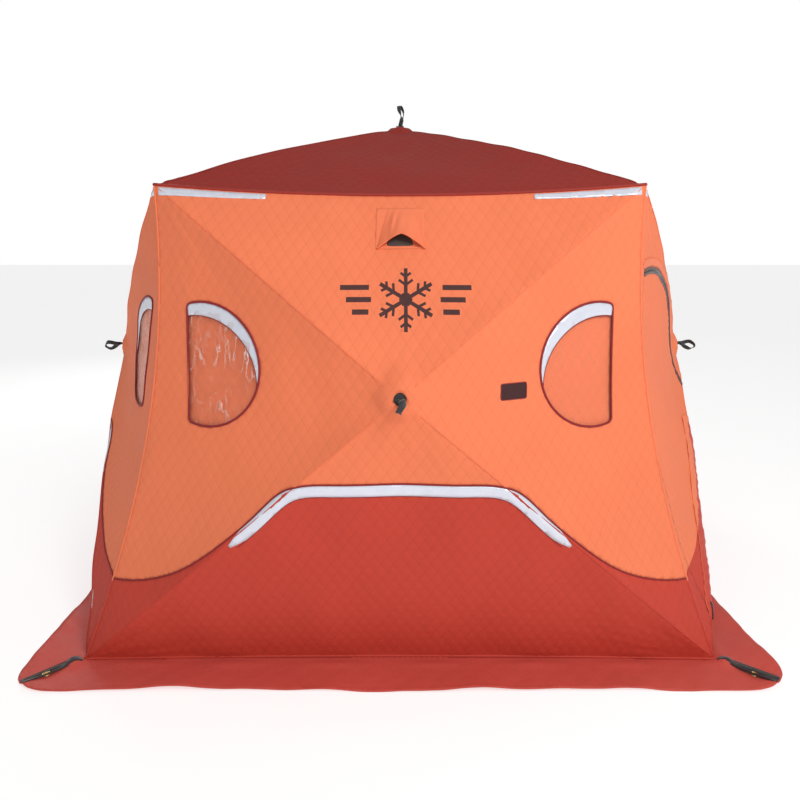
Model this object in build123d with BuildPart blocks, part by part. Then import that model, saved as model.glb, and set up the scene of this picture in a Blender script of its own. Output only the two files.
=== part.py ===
"""Hub-style pop-up ice fishing shelter.

Four fabric walls and a fabric roof each stand on an X of four fibreglass poles that meet in a hub.
A hub popped outward holds its panel taut; pushed through, it folds that panel inward.
Millimetres, +Z up, origin on the ground under the middle of the roof, front wall towards -Y.
Every wall is drawn as the front wall and turned about Z into its place.
"""

import math
import os

from build123d import *

# ---- driving dimensions ----
BASE = 2400.0  # corner to corner on the ground
ROOF = 1820.0  # corner to corner at the eaves
EAVE_Z = 1765.0  # height of the upper corners
APEX_Z = 2090.0  # height of the roof at its hub
HUB_SPAN = 2800.0  # from one wall's fabric at its hub to the opposite wall's
HUB_Z = 1055.0  # height of the wall hubs
SKIRT = 208.0  # width of the snow skirt on the ground
SKIRT_ROUND = 150.0  # rounding of the skirt's corners

EDGE_BOW = 85.0  # how far the tight fabric pulls each upright edge in, along X and along Y
EAVE_BOW = 36.0  # the same for the eaves, inward and down
BASE_BOW = 20.0  # the same for the edge on the ground
POLE_BOW = 28.0  # how far a bent pole stands out of the straight line from hub to corner
PANEL_BOW = 0.5  # bow along the middle of a panel, as a share of the pole's

FABRIC = 4.0  # quilted cloth
FIT = 6.0  # gap that keeps a side wall or the roof inside its neighbours
SEAM = 0.0006  # share of a panel's edge left open at each pole seam
HUB_HOLE = 56.0  # radius of the hole in each wall or roof for its hub and clamped cloth
LAP = 0.3  # gap between two sheets that lie on each other

POLE_R = 5.5
POLE_DEPTH = 16.0  # from the outside of the cloth to the pole's centre line
TIP_GAP = 90.0  # from the end of a pole to its corner, room for the open pivot
EYE_R = 6.5  # the eye on a pole's hub end, and its bore
EYE_BORE_R = 3.05
PIN_R = 3.0
PIN_RADIUS = 34.0  # hub axis to pin
HUB_R = 46.0
HUB_THICK = 26.0
HUB_FRONT = 6.0  # from the outside of the cloth to the hub body
STEM_R = 5.0
SLOT_START = 22.0  # where the pole slots begin, from the hub axis
PIN_LENGTH = 22.0
CAP_R = 32.0
CLAMP_R = 50.0  # the disc of cloth that the cap and the hub clamp
CAP_THICK = 6.0
EYE_OUT = 17.0  # hub surface to the pull's pivot
EYE_HALF = 16.0
EYE_BAR_R = 3.0
PULL_HALF = 6.0  # half the thickness of the webbing loop
PULL_LENGTH = 92.0
PULL_WIDTH = 25.0
PULL_DROOP = 18.0  # degrees below the hub axis on a wall

ARCH = [(0, 752), (230, 750), (375, 738), (500, 636), (610, 536), (800, 396), (1000, 314), (1320, 268)]
ARCH_TAPE = 38.0
ARCH_TAPE_X = 600.0
WINDOW_X = 722.0  # centre of the window's round side
WINDOW_Z = 1118.0
WINDOW_R = 225.0
WINDOW_FLAT_X = 790.0  # straight side
WINDOW_CORNER = 18.0  # rounding where the straight side meets the arc
CRESCENT_X = 745.0  # the circle that cuts the crescent out of the window's arc
CRESCENT_Z = 1056.0
CRESCENT_R = 236.0
BINDING = 9.0
COVER_LAP = 18.0
COVER_DEPTH = 10.0

DOOR_HINGE = [(-1075, 60), (-850, 1440)]
DOOR_ZIP = [(-330, 60), (-205, 800)]  # straight lower run of the zip, foot first
DOOR_GAP = 3.0
ZIP_WIDTH = 12.0
ZIP_LOW = 110.0  # height of the slider when the door is shut
ZIP_HIGH = 520.0  # top of the slider's straight travel
SLIDER_STAND = 5.0  # from the tape to the slider, clear of its bend

VENT_Z = 1607.0
VENT_WIDTH = 200.0
VENT_HEIGHT = 156.0
HOOD_STAND = 6.0  # from the cloth to the hood's root
HOOD_SHEET = 3.0
HOOD_LIP = 42.0  # how far the hood's lower edge stands out
HOOD_HALF = 60.0
HOOD_TOP = 70.0  # above the vent's middle
HOOD_LOW = -40.0
LABEL_AT = (396, 1049)
LABEL_SIZE = (95, 55)
TAPE = 0.8  # thickness of reflective tape, mesh and clear vinyl
GROMMET_R = 9.0
GROMMET_RIM = 17.0
GROMMET_AT = BASE / 2 + 100.0
SKIRT_THICK = 2.0
STRAP_AT = BASE / 2 + 84.0  # middle of a corner strap
STRAP_LENGTH = 215.0
STRAP_WIDTH = 34.0
STRAP_THICK = 1.6
GROMMET_THICK = 1.6

WALLS = {"front": 0, "right": 90, "back": 180, "left": 270}
LEAN = math.atan2((BASE - ROOF) / 2, EAVE_Z)
OUT = Vector(0, -math.cos(LEAN), math.sin(LEAN))  # outward normal of the front wall's plane
WALL_HUB = Vector(0, -HUB_SPAN / 2, HUB_Z)
ROOF_HUB = Vector(0, 0, APEX_Z)


# ---- the fabric surfaces ----
def corner(x_side, top, fit=0.0):
    """A corner of the front wall: x_side is -1 or 1."""
    half = (ROOF if top else BASE) / 2
    return Vector(x_side * (half - fit), -half, EAVE_Z if top else 0.0)


def wall_edges(fit):
    """The front wall's edges as start, end and bow: left, top, right and bottom."""
    low_left, low_right = corner(-1, False, fit), corner(1, False, fit)
    top_left, top_right = corner(-1, True, fit), corner(1, True, fit)
    return [
        (low_left, top_left, Vector(EDGE_BOW, EDGE_BOW, 0)),
        (top_left, top_right, Vector(0, EAVE_BOW, -EAVE_BOW)),
        (top_right, low_right, Vector(-EDGE_BOW, EDGE_BOW, 0)),
        (low_right, low_left, Vector(0, BASE_BOW, 0)),
    ]


def roof_edges():
    """The roof's front edge, which is turned about Z for the other three."""
    half = ROOF / 2 - FIT
    start, end = Vector(-half, -half, EAVE_Z), Vector(half, -half, EAVE_Z)
    return [(start, end, Vector(0, EAVE_BOW, -EAVE_BOW))]


def surface_point(edge, hub, out, u, v):
    """A point of a panel: u runs along its edge, v from the edge to the hub."""
    start, end, bow = edge
    rim = start * (1 - u) + end * u + bow * (4 * u * (1 - u))
    crown = POLE_BOW * 4 * v * (1 - v) * (1 - (1 - PANEL_BOW) * 4 * u * (1 - u))
    return rim * (1 - v) + hub * v + out * crown


def panel_face(edge, hub, out):
    """The outer face of one triangular panel, quadratic both ways."""
    near_hub = 0.985
    spans = [(SEAM, 0.5, 1 - SEAM), (0.0, near_hub / 2, near_hub)]
    grid = [[surface_point(edge, hub, out, u, v) for v in spans[1]] for u in spans[0]]

    def middle(first, mid, last):
        return mid * 2 - (first + last) / 2

    rows = [[row[0], middle(*row), row[2]] for row in grid]
    centre = [middle(rows[0][i], rows[1][i], rows[2][i]) for i in range(3)]
    return Face.make_bezier_surface([rows[0], centre, rows[2]])


def wall_panel(side, fit=0.0, depth=0.0, thick=FABRIC):
    """A panel of the front wall as a solid, depth inside the outer face and thick further in."""
    face = panel_face(wall_edges(fit)[side], WALL_HUB, OUT)
    return Solid.extrude(face.moved(Location((0, depth, 0))), Vector(0, thick, 0))


def on_wall(x, z, side, fit=0.0):
    """The point of one panel's outer face at x and z."""
    face = panel_face(wall_edges(fit)[side], WALL_HUB, OUT)
    hits = face.find_intersection_points(Axis((x, -3000, z), (0, 1, 0)))
    return hits[0][0]


def turned(shape, wall):
    """A piece drawn on the front wall, moved to the wall named."""
    return shape.rotate(Axis.Z, WALLS[wall])


def finish(shape, name):
    """Labels a piece and writes it to its own file."""
    shape.label = name
    export_step(shape, f"parts/{name}.step")


# ---- outlines, drawn in the front wall's X and Z ----
def arch_line(shift):
    """The seam between the upper and the lower cloth, moved up by shift."""
    right = [(x, z + shift) for x, z in ARCH]
    left = [(-x, z) for x, z in reversed(right[1:])]
    return Spline(*(left + right))


def below_arch(shift, drop=-400.0):
    """The area under the arched seam."""
    with BuildSketch(Plane.XZ) as area:
        with BuildLine():
            top = arch_line(shift)
            Polyline(top @ 1, (ARCH[-1][0], drop), (-ARCH[-1][0], drop), top @ 0)
        make_face()
    return area.sketch


def arch_band():
    """The reflective tape's area, which hangs from the arched seam."""
    with BuildSketch(Plane.XZ) as area:
        add(below_arch(-2.0))
        add(below_arch(-2.0 - ARCH_TAPE), mode=Mode.SUBTRACT)
        with Locations((0, 1000)):
            Rectangle(2 * ARCH_TAPE_X, 2000, mode=Mode.INTERSECT)
    return area.sketch


def window_area(x_side, grow=0.0):
    """A D-shaped window: a circle cut off by the straight side that faces the wall's edge."""
    flat = WINDOW_FLAT_X + grow
    width = 2 * (WINDOW_R + grow)
    with BuildSketch(Plane.XZ) as area:
        with Locations((x_side * WINDOW_X, WINDOW_Z)):
            Circle(WINDOW_R + grow)
        with Locations((x_side * (flat - width / 2), WINDOW_Z)):
            Rectangle(width, width, mode=Mode.INTERSECT)
        fillet(area.vertices(), WINDOW_CORNER + grow)
    return area.sketch


def crescent_area(x_side):
    """The reflective crescent inside the window's upper, inner arc."""
    with BuildSketch(Plane.XZ) as area:
        add(window_area(x_side, -1.0))
        with Locations((x_side * CRESCENT_X, CRESCENT_Z)):
            Circle(CRESCENT_R, mode=Mode.SUBTRACT)
    return area.sketch


def door_area(grow=0.0):
    """The door's outline on its wall: hinge side, round top, straight zip and foot."""
    with BuildSketch(Plane.XZ) as area:
        with BuildLine():
            hinge = Line(*DOOR_HINGE)
            straight = Line(*DOOR_ZIP)
            TangentArc(straight @ 1, hinge @ 1, tangent=straight % 1)
            Line(straight @ 0, hinge @ 0)
        make_face()
        if grow:
            offset(amount=grow)
    return area.sketch


def through(area):
    """A block that carries an outline through the front wall."""
    return extrude(area, amount=1600, dir=(0, -1, 0), mode=Mode.PRIVATE)


# ---- fabric walls and roof ----
def wall_solids(wall, lower):
    """The upper or lower cloth of one wall, one solid for each sewn panel."""
    fit = 0.0 if wall in ("front", "back") else FIT
    sides = (0, 2, 3) if lower else (0, 1, 2, 3)
    with BuildPart() as cloth:
        for side in sides:
            add(wall_panel(side, fit))
        if lower:
            add(through(below_arch(-LAP)), mode=Mode.INTERSECT)
        else:
            add(through(below_arch(LAP)), mode=Mode.SUBTRACT)
            with Locations(Plane(origin=WALL_HUB, z_dir=OUT)):
                Cylinder(HUB_HOLE, 80, mode=Mode.SUBTRACT)
            if wall != "right":
                for x_side in (-1, 1):
                    add(through(window_area(x_side)), mode=Mode.SUBTRACT)
        if wall == "right":
            add(through(door_area()), mode=Mode.SUBTRACT)
    return turned(cloth.part, wall)


os.makedirs("parts", exist_ok=True)

# ---- fabric ----
for wall_name in WALLS:
    finish(wall_solids(wall_name, lower=False), f"wall_{wall_name}_upper")

with BuildPart() as lower_walls:
    for wall_name in WALLS:
        add(wall_solids(wall_name, lower=True))
finish(lower_walls.part, "wall_lower_panels")

with BuildPart() as roof_panel:
    roof_face = panel_face(roof_edges()[0], ROOF_HUB, Vector(0, 0, 1))
    for turn in range(4):
        add(Solid.extrude(roof_face, Vector(0, 0, -FABRIC)).rotate(Axis.Z, 90 * turn))
    with Locations((0, 0, APEX_Z)):
        Cylinder(HUB_HOLE, 80, mode=Mode.SUBTRACT)
finish(roof_panel.part, "roof_panel")


# ---- snow skirt with its corner straps and grommets ----
def base_outline(grow):
    """The walls' outline on the ground with its bowed sides, grown outward."""
    half = BASE / 2 + grow
    corners = [(-half, -half), (half, -half), (half, half), (-half, half)]
    middles = [(0, BASE_BOW - half), (half - BASE_BOW, 0), (0, half - BASE_BOW), (BASE_BOW - half, 0)]
    with BuildSketch() as area:
        with BuildLine():
            for i, middle in enumerate(middles):
                ThreePointArc(corners[i], middle, corners[(i + 1) % 4])
        make_face()
    return area.sketch


CORNERS = [(x, y) for x in (-1, 1) for y in (-1, 1)]

with BuildPart() as snow_skirt:
    with BuildSketch():
        RectangleRounded(BASE + 2 * SKIRT, BASE + 2 * SKIRT, SKIRT_ROUND)
        add(base_outline(2.0), mode=Mode.SUBTRACT)
        with Locations(*[(x * GROMMET_AT, y * GROMMET_AT) for x, y in CORNERS]):
            Circle(GROMMET_R + 1.5, mode=Mode.SUBTRACT)
    extrude(amount=SKIRT_THICK)
finish(snow_skirt.part, "snow_skirt")

with BuildPart() as skirt_corner_straps:
    with BuildSketch(Plane.XY.offset(SKIRT_THICK + LAP)):
        for x, y in CORNERS:
            with Locations(Location((x * STRAP_AT, y * STRAP_AT, 0), (0, 0, 45 * x * y))):
                SlotOverall(STRAP_LENGTH, STRAP_WIDTH)
            with Locations((x * GROMMET_AT, y * GROMMET_AT)):
                Circle(GROMMET_R + 1.5, mode=Mode.SUBTRACT)
    extrude(amount=STRAP_THICK)
finish(skirt_corner_straps.part, "skirt_corner_straps")

with BuildPart() as skirt_grommets:
    rim_top = SKIRT_THICK + STRAP_THICK + 2 * LAP
    for x, y in CORNERS:
        with Locations((x * GROMMET_AT, y * GROMMET_AT, 0)):
            Cylinder(GROMMET_R + 1.2, rim_top + GROMMET_THICK, align=(Align.CENTER, Align.CENTER, Align.MIN))
        with Locations((x * GROMMET_AT, y * GROMMET_AT, rim_top)):
            Cylinder(GROMMET_RIM, GROMMET_THICK, align=(Align.CENTER, Align.CENTER, Align.MIN))
        with Locations((x * GROMMET_AT, y * GROMMET_AT, 0)):
            Cylinder(GROMMET_R, 20, mode=Mode.SUBTRACT)
finish(skirt_grommets.part, "skirt_grommets")


# ---- trim sewn on the cloth ----
def trim_on_walls(outline, walls, sides, proud, thick):
    """Thin pieces that lie on the outer face: proud is how far out their inner face is."""
    with BuildPart() as trim:
        for wall in walls:
            fit = 0.0 if wall in ("front", "back") else FIT
            with BuildPart(mode=Mode.PRIVATE) as piece:
                for side in sides:
                    add(wall_panel(side, fit, depth=-proud - thick, thick=thick))
                add(through(outline()), mode=Mode.INTERSECT)
            add(turned(piece.part, wall))
    return trim.part


def both_sides(area_of_side):
    """The sum of a left and a right outline."""
    with BuildSketch(Plane.XZ) as area:
        for x_side in (-1, 1):
            add(area_of_side(x_side))
    return area.sketch


def binding_area(x_side):
    """The piping's ring round a window."""
    with BuildSketch(Plane.XZ) as area:
        add(window_area(x_side, BINDING))
        add(window_area(x_side, 1.0), mode=Mode.SUBTRACT)
    return area.sketch


def vent_area(inner):
    """The sewn patch of a roof-side vent, or the arched mesh in it."""
    with BuildSketch(Plane.XZ) as area:
        if inner:
            with Locations((0, VENT_Z - 48)):
                Rectangle(110, 44)
            with Locations((0, VENT_Z - 30)):
                Circle(36)
        else:
            with Locations((0, VENT_Z)):
                RectangleRounded(VENT_WIDTH, VENT_HEIGHT, 12)
    return area.sketch


def vent_patch_area():
    """The patch with its mesh opening cut out."""
    with BuildSketch(Plane.XZ) as area:
        add(vent_area(inner=False))
        add(vent_area(inner=True), mode=Mode.SUBTRACT)
    return area.sketch


def eave_area(x_side):
    """The reflective strip under the eave beside an upper corner."""
    with BuildSketch(Plane.XZ) as area:
        with BuildLine():
            Polyline(
                (x_side * 885, 1752),
                (x_side * 500, 1734),
                (x_side * 500, 1720),
                (x_side * 885, 1716),
                close=True,
            )
        make_face()
    return area.sketch


def label_area():
    """A small plain sewn patch beside the hub."""
    with BuildSketch(Plane.XZ) as area:
        with Locations(LABEL_AT):
            RectangleRounded(*LABEL_SIZE, 5)
    return area.sketch


def zip_area():
    """The zip's tape: a band outside the door's outline, without the hinge side."""
    with BuildSketch(Plane.XZ) as area:
        add(door_area(ZIP_WIDTH))
        add(door_area(), mode=Mode.SUBTRACT)
        with BuildLine(mode=Mode.PRIVATE) as hinge_side:
            Polyline((-1400, 0), (-1060, 0), (-820, 1480), (-1400, 1480), close=True)
        make_face(hinge_side.edges(), mode=Mode.SUBTRACT)
    return area.sketch


def window_pair(grow):
    """Both windows' outlines on one wall."""
    return both_sides(lambda x_side: window_area(x_side, grow))


WINDOW_WALLS = ("front", "back", "left")
VENT_WALLS = ("front", "back")
SIDE_PANELS = (0, 2)
TOP_PANEL = (1,)
LOWER_PANELS = (0, 2, 3)
DOOR_PANELS = (0, 3)

TRIMS = {
    # name: outline on a wall, walls, panels, how far its inner face stands out, thickness
    "arch_reflectors": (arch_band, WINDOW_WALLS, LOWER_PANELS, LAP, TAPE),
    "eave_reflectors": (lambda: both_sides(eave_area), WALLS, TOP_PANEL, LAP, TAPE),
    "window_reflectors": (lambda: both_sides(crescent_area), WINDOW_WALLS, SIDE_PANELS, LAP, TAPE),
    "window_bindings": (lambda: both_sides(binding_area), WINDOW_WALLS, SIDE_PANELS, LAP, 2.5),
    "window_panes": (lambda: window_pair(-1.5), WINDOW_WALLS, SIDE_PANELS, -1.6, TAPE),
    "vent_patches": (vent_patch_area, VENT_WALLS, TOP_PANEL, LAP, 2.0),
    "vent_meshes": (lambda: vent_area(inner=True), VENT_WALLS, TOP_PANEL, LAP, TAPE),
    "label_patch": (label_area, ("front",), (2,), LAP, 1.5),
    "door_zip_tape": (zip_area, ("right",), DOOR_PANELS, LAP, 1.5),
}
for trim_name, (outline, *where) in TRIMS.items():
    finish(trim_on_walls(outline, *where), trim_name)

# ---- vent hoods, each a sloping lid with two cheeks over its mesh ----

def wall_slope():
    """The direction up the front wall's top panel at the vent."""
    edge = wall_edges(0.0)[1]
    near, far = [surface_point(edge, WALL_HUB, OUT, 0.5, v) for v in (0.35, 0.10)]
    return (far - near).normalized()


def vent_point():
    """The point of the front wall's middle line at the vent's height."""
    edge = wall_edges(0.0)[1]
    low, high = 0.0, 1.0
    for _ in range(40):
        v = (low + high) / 2
        if surface_point(edge, WALL_HUB, OUT, 0.5, v).Z > VENT_Z:
            low = v
        else:
            high = v
    return surface_point(edge, WALL_HUB, OUT, 0.5, low)


with BuildPart() as vent_hoods:
    slope = wall_slope()
    hood_normal = Vector(1, 0, 0).cross(slope)
    for turn in (0, 180):
        base = vent_point() + hood_normal * HOOD_STAND
        side_plane = Plane(origin=base, x_dir=slope, z_dir=(-1, 0, 0))
        with BuildPart(mode=Mode.PRIVATE) as hood:
            with BuildSketch(side_plane) as lid_side:
                with BuildLine():
                    Polyline(
                        (HOOD_TOP, 0),
                        (HOOD_LOW, -HOOD_LIP),
                        (HOOD_LOW, HOOD_SHEET - HOOD_LIP),
                        (HOOD_TOP - 3 * HOOD_SHEET, 0),
                        close=True,
                    )
                make_face()
            extrude(amount=HOOD_HALF, both=True)
            for cheek in (-1, 1):
                with BuildSketch(side_plane.offset(cheek * (HOOD_HALF - HOOD_SHEET / 2))):
                    with BuildLine():
                        Polyline((HOOD_TOP, 0), (HOOD_LOW, -HOOD_LIP), (HOOD_LOW, 0), close=True)
                    make_face()
                extrude(amount=HOOD_SHEET / 2, both=True)
        add(hood.part.rotate(Axis.Z, turn))
finish(vent_hoods.part, "vent_hoods")

# ---- door flap and its zip slider ----
with BuildPart() as door_panel:
    for side in DOOR_PANELS:
        add(wall_panel(side, FIT))
    add(through(door_area(-DOOR_GAP)), mode=Mode.INTERSECT)
finish(turned(door_panel.part, "right"), "door_panel")


def zip_point(z):
    """A point on the middle of the zip tape's straight run."""
    foot, top = Vector(*DOOR_ZIP[0]), Vector(*DOOR_ZIP[1])
    along = (top - foot).normalized()
    at = foot + along * ((z - foot.Y) / along.Y) + Vector(along.Y, -along.X) * (ZIP_WIDTH / 2)
    return on_wall(at.X, at.Y, 3, FIT)


with BuildPart() as zip_slider:
    low, high = zip_point(ZIP_LOW), zip_point(ZIP_HIGH)
    along_zip = (high - low).normalized()
    out_of_wall = Vector(1, 0, 0).cross(along_zip).normalized()
    with BuildSketch(Plane(origin=low + out_of_wall * SLIDER_STAND, x_dir=along_zip, z_dir=out_of_wall)):
        RectangleRounded(26, 13, 4)
    extrude(amount=6)
    pull_base = low + out_of_wall * (SLIDER_STAND + 6.1) - along_zip * 22
    with BuildSketch(Plane(origin=pull_base, x_dir=along_zip, z_dir=out_of_wall)):
        RectangleRounded(44, 9, 4)
    extrude(amount=2)
finish(turned(zip_slider.part, "right"), "door_zip_slider")

# ---- inner window covers ----
for wall_name in WINDOW_WALLS:
    for side_name, x_side, panel in (("a", -1, 0), ("b", 1, 2)):
        fit = FIT if wall_name == "left" else 0.0
        with BuildPart() as cover:
            add(wall_panel(panel, fit, depth=COVER_DEPTH, thick=3.0))
            add(through(window_area(x_side, COVER_LAP)), mode=Mode.INTERSECT)
        finish(turned(cover.part, wall_name), f"window_cover_{wall_name}_{side_name}")


# ---- hubs, poles and pulls ----
def pole_point(target, hub, out, v):
    """A point of a pole's centre line: v runs from its corner to the hub."""
    return target * (1 - v) + hub * v + out * (POLE_BOW * 4 * v * (1 - v) - POLE_DEPTH)


def hub_radial(target, hub, out):
    """The direction in the hub's plane towards a corner, and the corner's distance that way."""
    flat = (target - hub) - out * (target - hub).dot(out)
    return flat.normalized(), flat.length


def hub_solids(hub, out, across, targets):
    """Hub body, four pins, clamped cloth, nut, and the cap with its stem and eye along across."""
    plane = Plane(origin=hub, x_dir=across, z_dir=out)
    with BuildPart(mode=Mode.PRIVATE) as body:
        with BuildSketch(plane.offset(-HUB_FRONT)):
            Circle(HUB_R)
            Circle(STEM_R + 0.1, mode=Mode.SUBTRACT)
        extrude(amount=-HUB_THICK)
        for target in targets:
            radial, reach = hub_radial(target, hub, out)
            slot_plane = Plane(origin=hub, x_dir=radial, z_dir=out)
            with BuildSketch(slot_plane):
                with Locations((SLOT_START + HUB_R / 2, 0)):
                    Rectangle(HUB_R, 2 * POLE_R + 1.2)
            extrude(amount=-60, mode=Mode.SUBTRACT)
            pin_at = pole_point(target, hub, out, 1 - PIN_RADIUS / reach)
            with Locations(Plane(origin=pin_at, z_dir=out.cross(radial))):
                Cylinder(PIN_R + 0.02, PIN_LENGTH + 0.4, mode=Mode.SUBTRACT)
    with BuildPart(mode=Mode.PRIVATE) as cap:
        with BuildSketch(plane.offset(0.5)):
            Circle(CAP_R)
        extrude(amount=CAP_THICK)
        fillet(cap.faces().sort_by(Axis(hub, out))[-1].edges(), CAP_THICK * 0.6)
        with BuildSketch(plane.offset(2)):
            Circle(STEM_R)
        extrude(amount=-(HUB_FRONT + HUB_THICK + 10))
        with BuildSketch(plane.offset(4)):
            with Locations((EYE_HALF, 0), (-EYE_HALF, 0)):
                Rectangle(4, 9)
        extrude(amount=EYE_OUT)
        with Locations(Plane(origin=hub + out * EYE_OUT, z_dir=across)):
            Cylinder(EYE_BAR_R, 2 * EYE_HALF)
    with BuildPart(mode=Mode.PRIVATE) as nut:
        with BuildSketch(plane.offset(-(HUB_FRONT + HUB_THICK + 0.2))):
            RegularPolygon(9, 6)
            Circle(STEM_R + 0.1, mode=Mode.SUBTRACT)
        extrude(amount=-7)
    with BuildPart(mode=Mode.PRIVATE) as clamped_cloth:
        with BuildSketch(plane.offset(0.3)):
            Circle(CLAMP_R)
            Circle(STEM_R + 0.1, mode=Mode.SUBTRACT)
        extrude(amount=-FABRIC)
    with BuildPart() as whole:
        add(body.part)
        add(cap.part)
        add(nut.part)
        add(clamped_cloth.part)
        for target in targets:
            radial, reach = hub_radial(target, hub, out)
            pin_at = pole_point(target, hub, out, 1 - PIN_RADIUS / reach)
            with Locations(Plane(origin=pin_at, z_dir=out.cross(radial))):
                Cylinder(PIN_R, PIN_LENGTH)
    return whole.part


def pole_solid(target, hub, out):
    """One bent fibreglass pole with its eye for the hub pin."""
    radial, reach = hub_radial(target, hub, out)
    start = pole_point(target, hub, out, 1 - (PIN_RADIUS + 4) / reach)
    mid = pole_point(target, hub, out, 0.5)
    tip = pole_point(target, hub, out, TIP_GAP / (target - hub).length)
    pin_at = pole_point(target, hub, out, 1 - PIN_RADIUS / reach)
    with BuildPart() as pole:
        with BuildLine():
            line = ThreePointArc(start, mid, tip)
        with BuildSketch(Plane(origin=line @ 0, z_dir=line % 0)):
            Circle(POLE_R)
        sweep()
        with Locations(Plane(origin=pin_at, z_dir=out.cross(radial))):
            Cylinder(EYE_R, 2 * POLE_R - 0.4)
            Cylinder(EYE_BORE_R, 40, mode=Mode.SUBTRACT)
    return pole.part


def pull_solid(hub, out, across, droop):
    """A loop of webbing on the cap's eye bar, turned down by droop degrees."""
    down = across.cross(out)
    along = out * math.cos(math.radians(droop)) + down * math.sin(math.radians(droop))
    plane = Plane(origin=hub + out * EYE_OUT - across * (PULL_WIDTH / 2), x_dir=along, z_dir=across)
    with BuildPart() as pull:
        with BuildSketch(plane):
            with Locations((PULL_LENGTH / 2 - PULL_HALF, 0)):
                SlotOverall(PULL_LENGTH, 2 * PULL_HALF)
                SlotOverall(PULL_LENGTH - 4, 2 * PULL_HALF - 4, mode=Mode.SUBTRACT)
        extrude(amount=PULL_WIDTH)
    return pull.part


wall_targets = {
    "low_a": corner(-1, False),
    "low_b": corner(1, False),
    "top_a": corner(-1, True),
    "top_b": corner(1, True),
}
across_wall = Vector(1, 0, 0)
wall_hub = hub_solids(WALL_HUB, OUT, across_wall, wall_targets.values())
wall_pull = pull_solid(WALL_HUB, OUT, across_wall, PULL_DROOP)
for wall_name in WALLS:
    finish(turned(wall_hub, wall_name), f"hub_{wall_name}")
    finish(turned(wall_pull, wall_name), f"pull_{wall_name}")
    for pole_name, pole_target in wall_targets.items():
        finish(turned(pole_solid(pole_target, WALL_HUB, OUT), wall_name), f"pole_{wall_name}_{pole_name}")

UP = Vector(0, 0, 1)
roof_targets = {f"{i}": Vector(x * ROOF / 2, y * ROOF / 2, EAVE_Z) for i, (x, y) in enumerate(CORNERS)}
finish(hub_solids(ROOF_HUB, UP, across_wall, roof_targets.values()), "hub_roof")
finish(pull_solid(ROOF_HUB, UP, across_wall, 0), "pull_roof")
for pole_name, pole_target in roof_targets.items():
    finish(pole_solid(pole_target, ROOF_HUB, UP), f"pole_roof_{pole_name}")


# ---- end cups in the corners ----
def cup_solids(half, height, rise, inset):
    """A cup in each corner at one height, its mouth facing into the shelter."""
    with BuildPart() as cups:
        for x, y in CORNERS:
            inward = Vector(-x, -y, rise).normalized()
            seat = Vector(x * half, y * half, height) + inward * inset
            with Locations(Plane(origin=seat, z_dir=inward)):
                Cylinder(9, 14, align=(Align.CENTER, Align.CENTER, Align.MIN))
            with Locations(Plane(origin=seat + inward * 4, z_dir=inward)):
                Cylinder(6, 20, align=(Align.CENTER, Align.CENTER, Align.MIN), mode=Mode.SUBTRACT)
    return cups.part


finish(cup_solids(ROOF / 2, EAVE_Z, -0.8, 24), "corner_cups_top")
finish(cup_solids(BASE / 2, 0.0, 1.0, 32), "corner_cups_bottom")
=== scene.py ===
"""Looks of the hub-style pop-up ice fishing shelter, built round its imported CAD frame.

Every wall is drawn as the front wall, in X and Z, and turned about Z into its place; the roof is drawn in
X and Y. Lengths are in metres.
"""

import math

import bpy
import numpy as np
from mathutils import Matrix, Vector
from mathutils.geometry import delaunay_2d_cdt
from mathutils.kdtree import KDTree


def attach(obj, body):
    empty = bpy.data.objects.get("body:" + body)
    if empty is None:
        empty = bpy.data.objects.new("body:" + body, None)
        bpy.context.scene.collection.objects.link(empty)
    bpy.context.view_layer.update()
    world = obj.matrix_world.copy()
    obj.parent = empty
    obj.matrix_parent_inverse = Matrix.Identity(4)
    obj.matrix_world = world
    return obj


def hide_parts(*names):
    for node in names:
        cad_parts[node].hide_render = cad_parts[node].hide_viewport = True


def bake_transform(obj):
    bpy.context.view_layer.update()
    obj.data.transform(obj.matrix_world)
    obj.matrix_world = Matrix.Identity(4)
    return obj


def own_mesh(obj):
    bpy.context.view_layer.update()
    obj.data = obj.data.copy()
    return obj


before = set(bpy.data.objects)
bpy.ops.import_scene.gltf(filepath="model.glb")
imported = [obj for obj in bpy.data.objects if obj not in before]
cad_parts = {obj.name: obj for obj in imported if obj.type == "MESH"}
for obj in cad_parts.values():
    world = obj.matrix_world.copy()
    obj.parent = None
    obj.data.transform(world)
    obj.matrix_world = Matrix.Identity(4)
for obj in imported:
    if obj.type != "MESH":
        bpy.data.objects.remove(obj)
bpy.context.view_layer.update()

# ---- the frame's dimensions, as in the CAD ----
BASE_HALF = 1.200
ROOF_HALF = 0.910
EAVE_Z = 1.765
APEX_Z = 2.090
HUB_Y = -1.400
HUB_Z = 1.055
EDGE_BOW = 0.085
EAVE_BOW = 0.036
BASE_BOW = 0.020
POLE_BOW = 0.028
SIDE_FIT = 0.006
SKIRT_HALF = 1.408
SKIRT_ROUND = 0.150
LEAN = math.atan2(BASE_HALF - ROOF_HALF, EAVE_Z)
WALL_OUT = np.array([0.0, -math.cos(LEAN), math.sin(LEAN)])
WALL_HUB = np.array([0.0, HUB_Y, HUB_Z])
ROOF_OUT = np.array([0.0, 0.0, 1.0])
ROOF_HUB = np.array([0.0, 0.0, APEX_Z])
WALL_DEPTH = 0.3684  # from the plane through a wall's corners out to its hub
WALLS = {"front": 0, "right": 90, "back": 180, "left": 270}
WINDOW_WALLS = ("front", "back", "left")
VENT_WALLS = ("front", "back")

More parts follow.
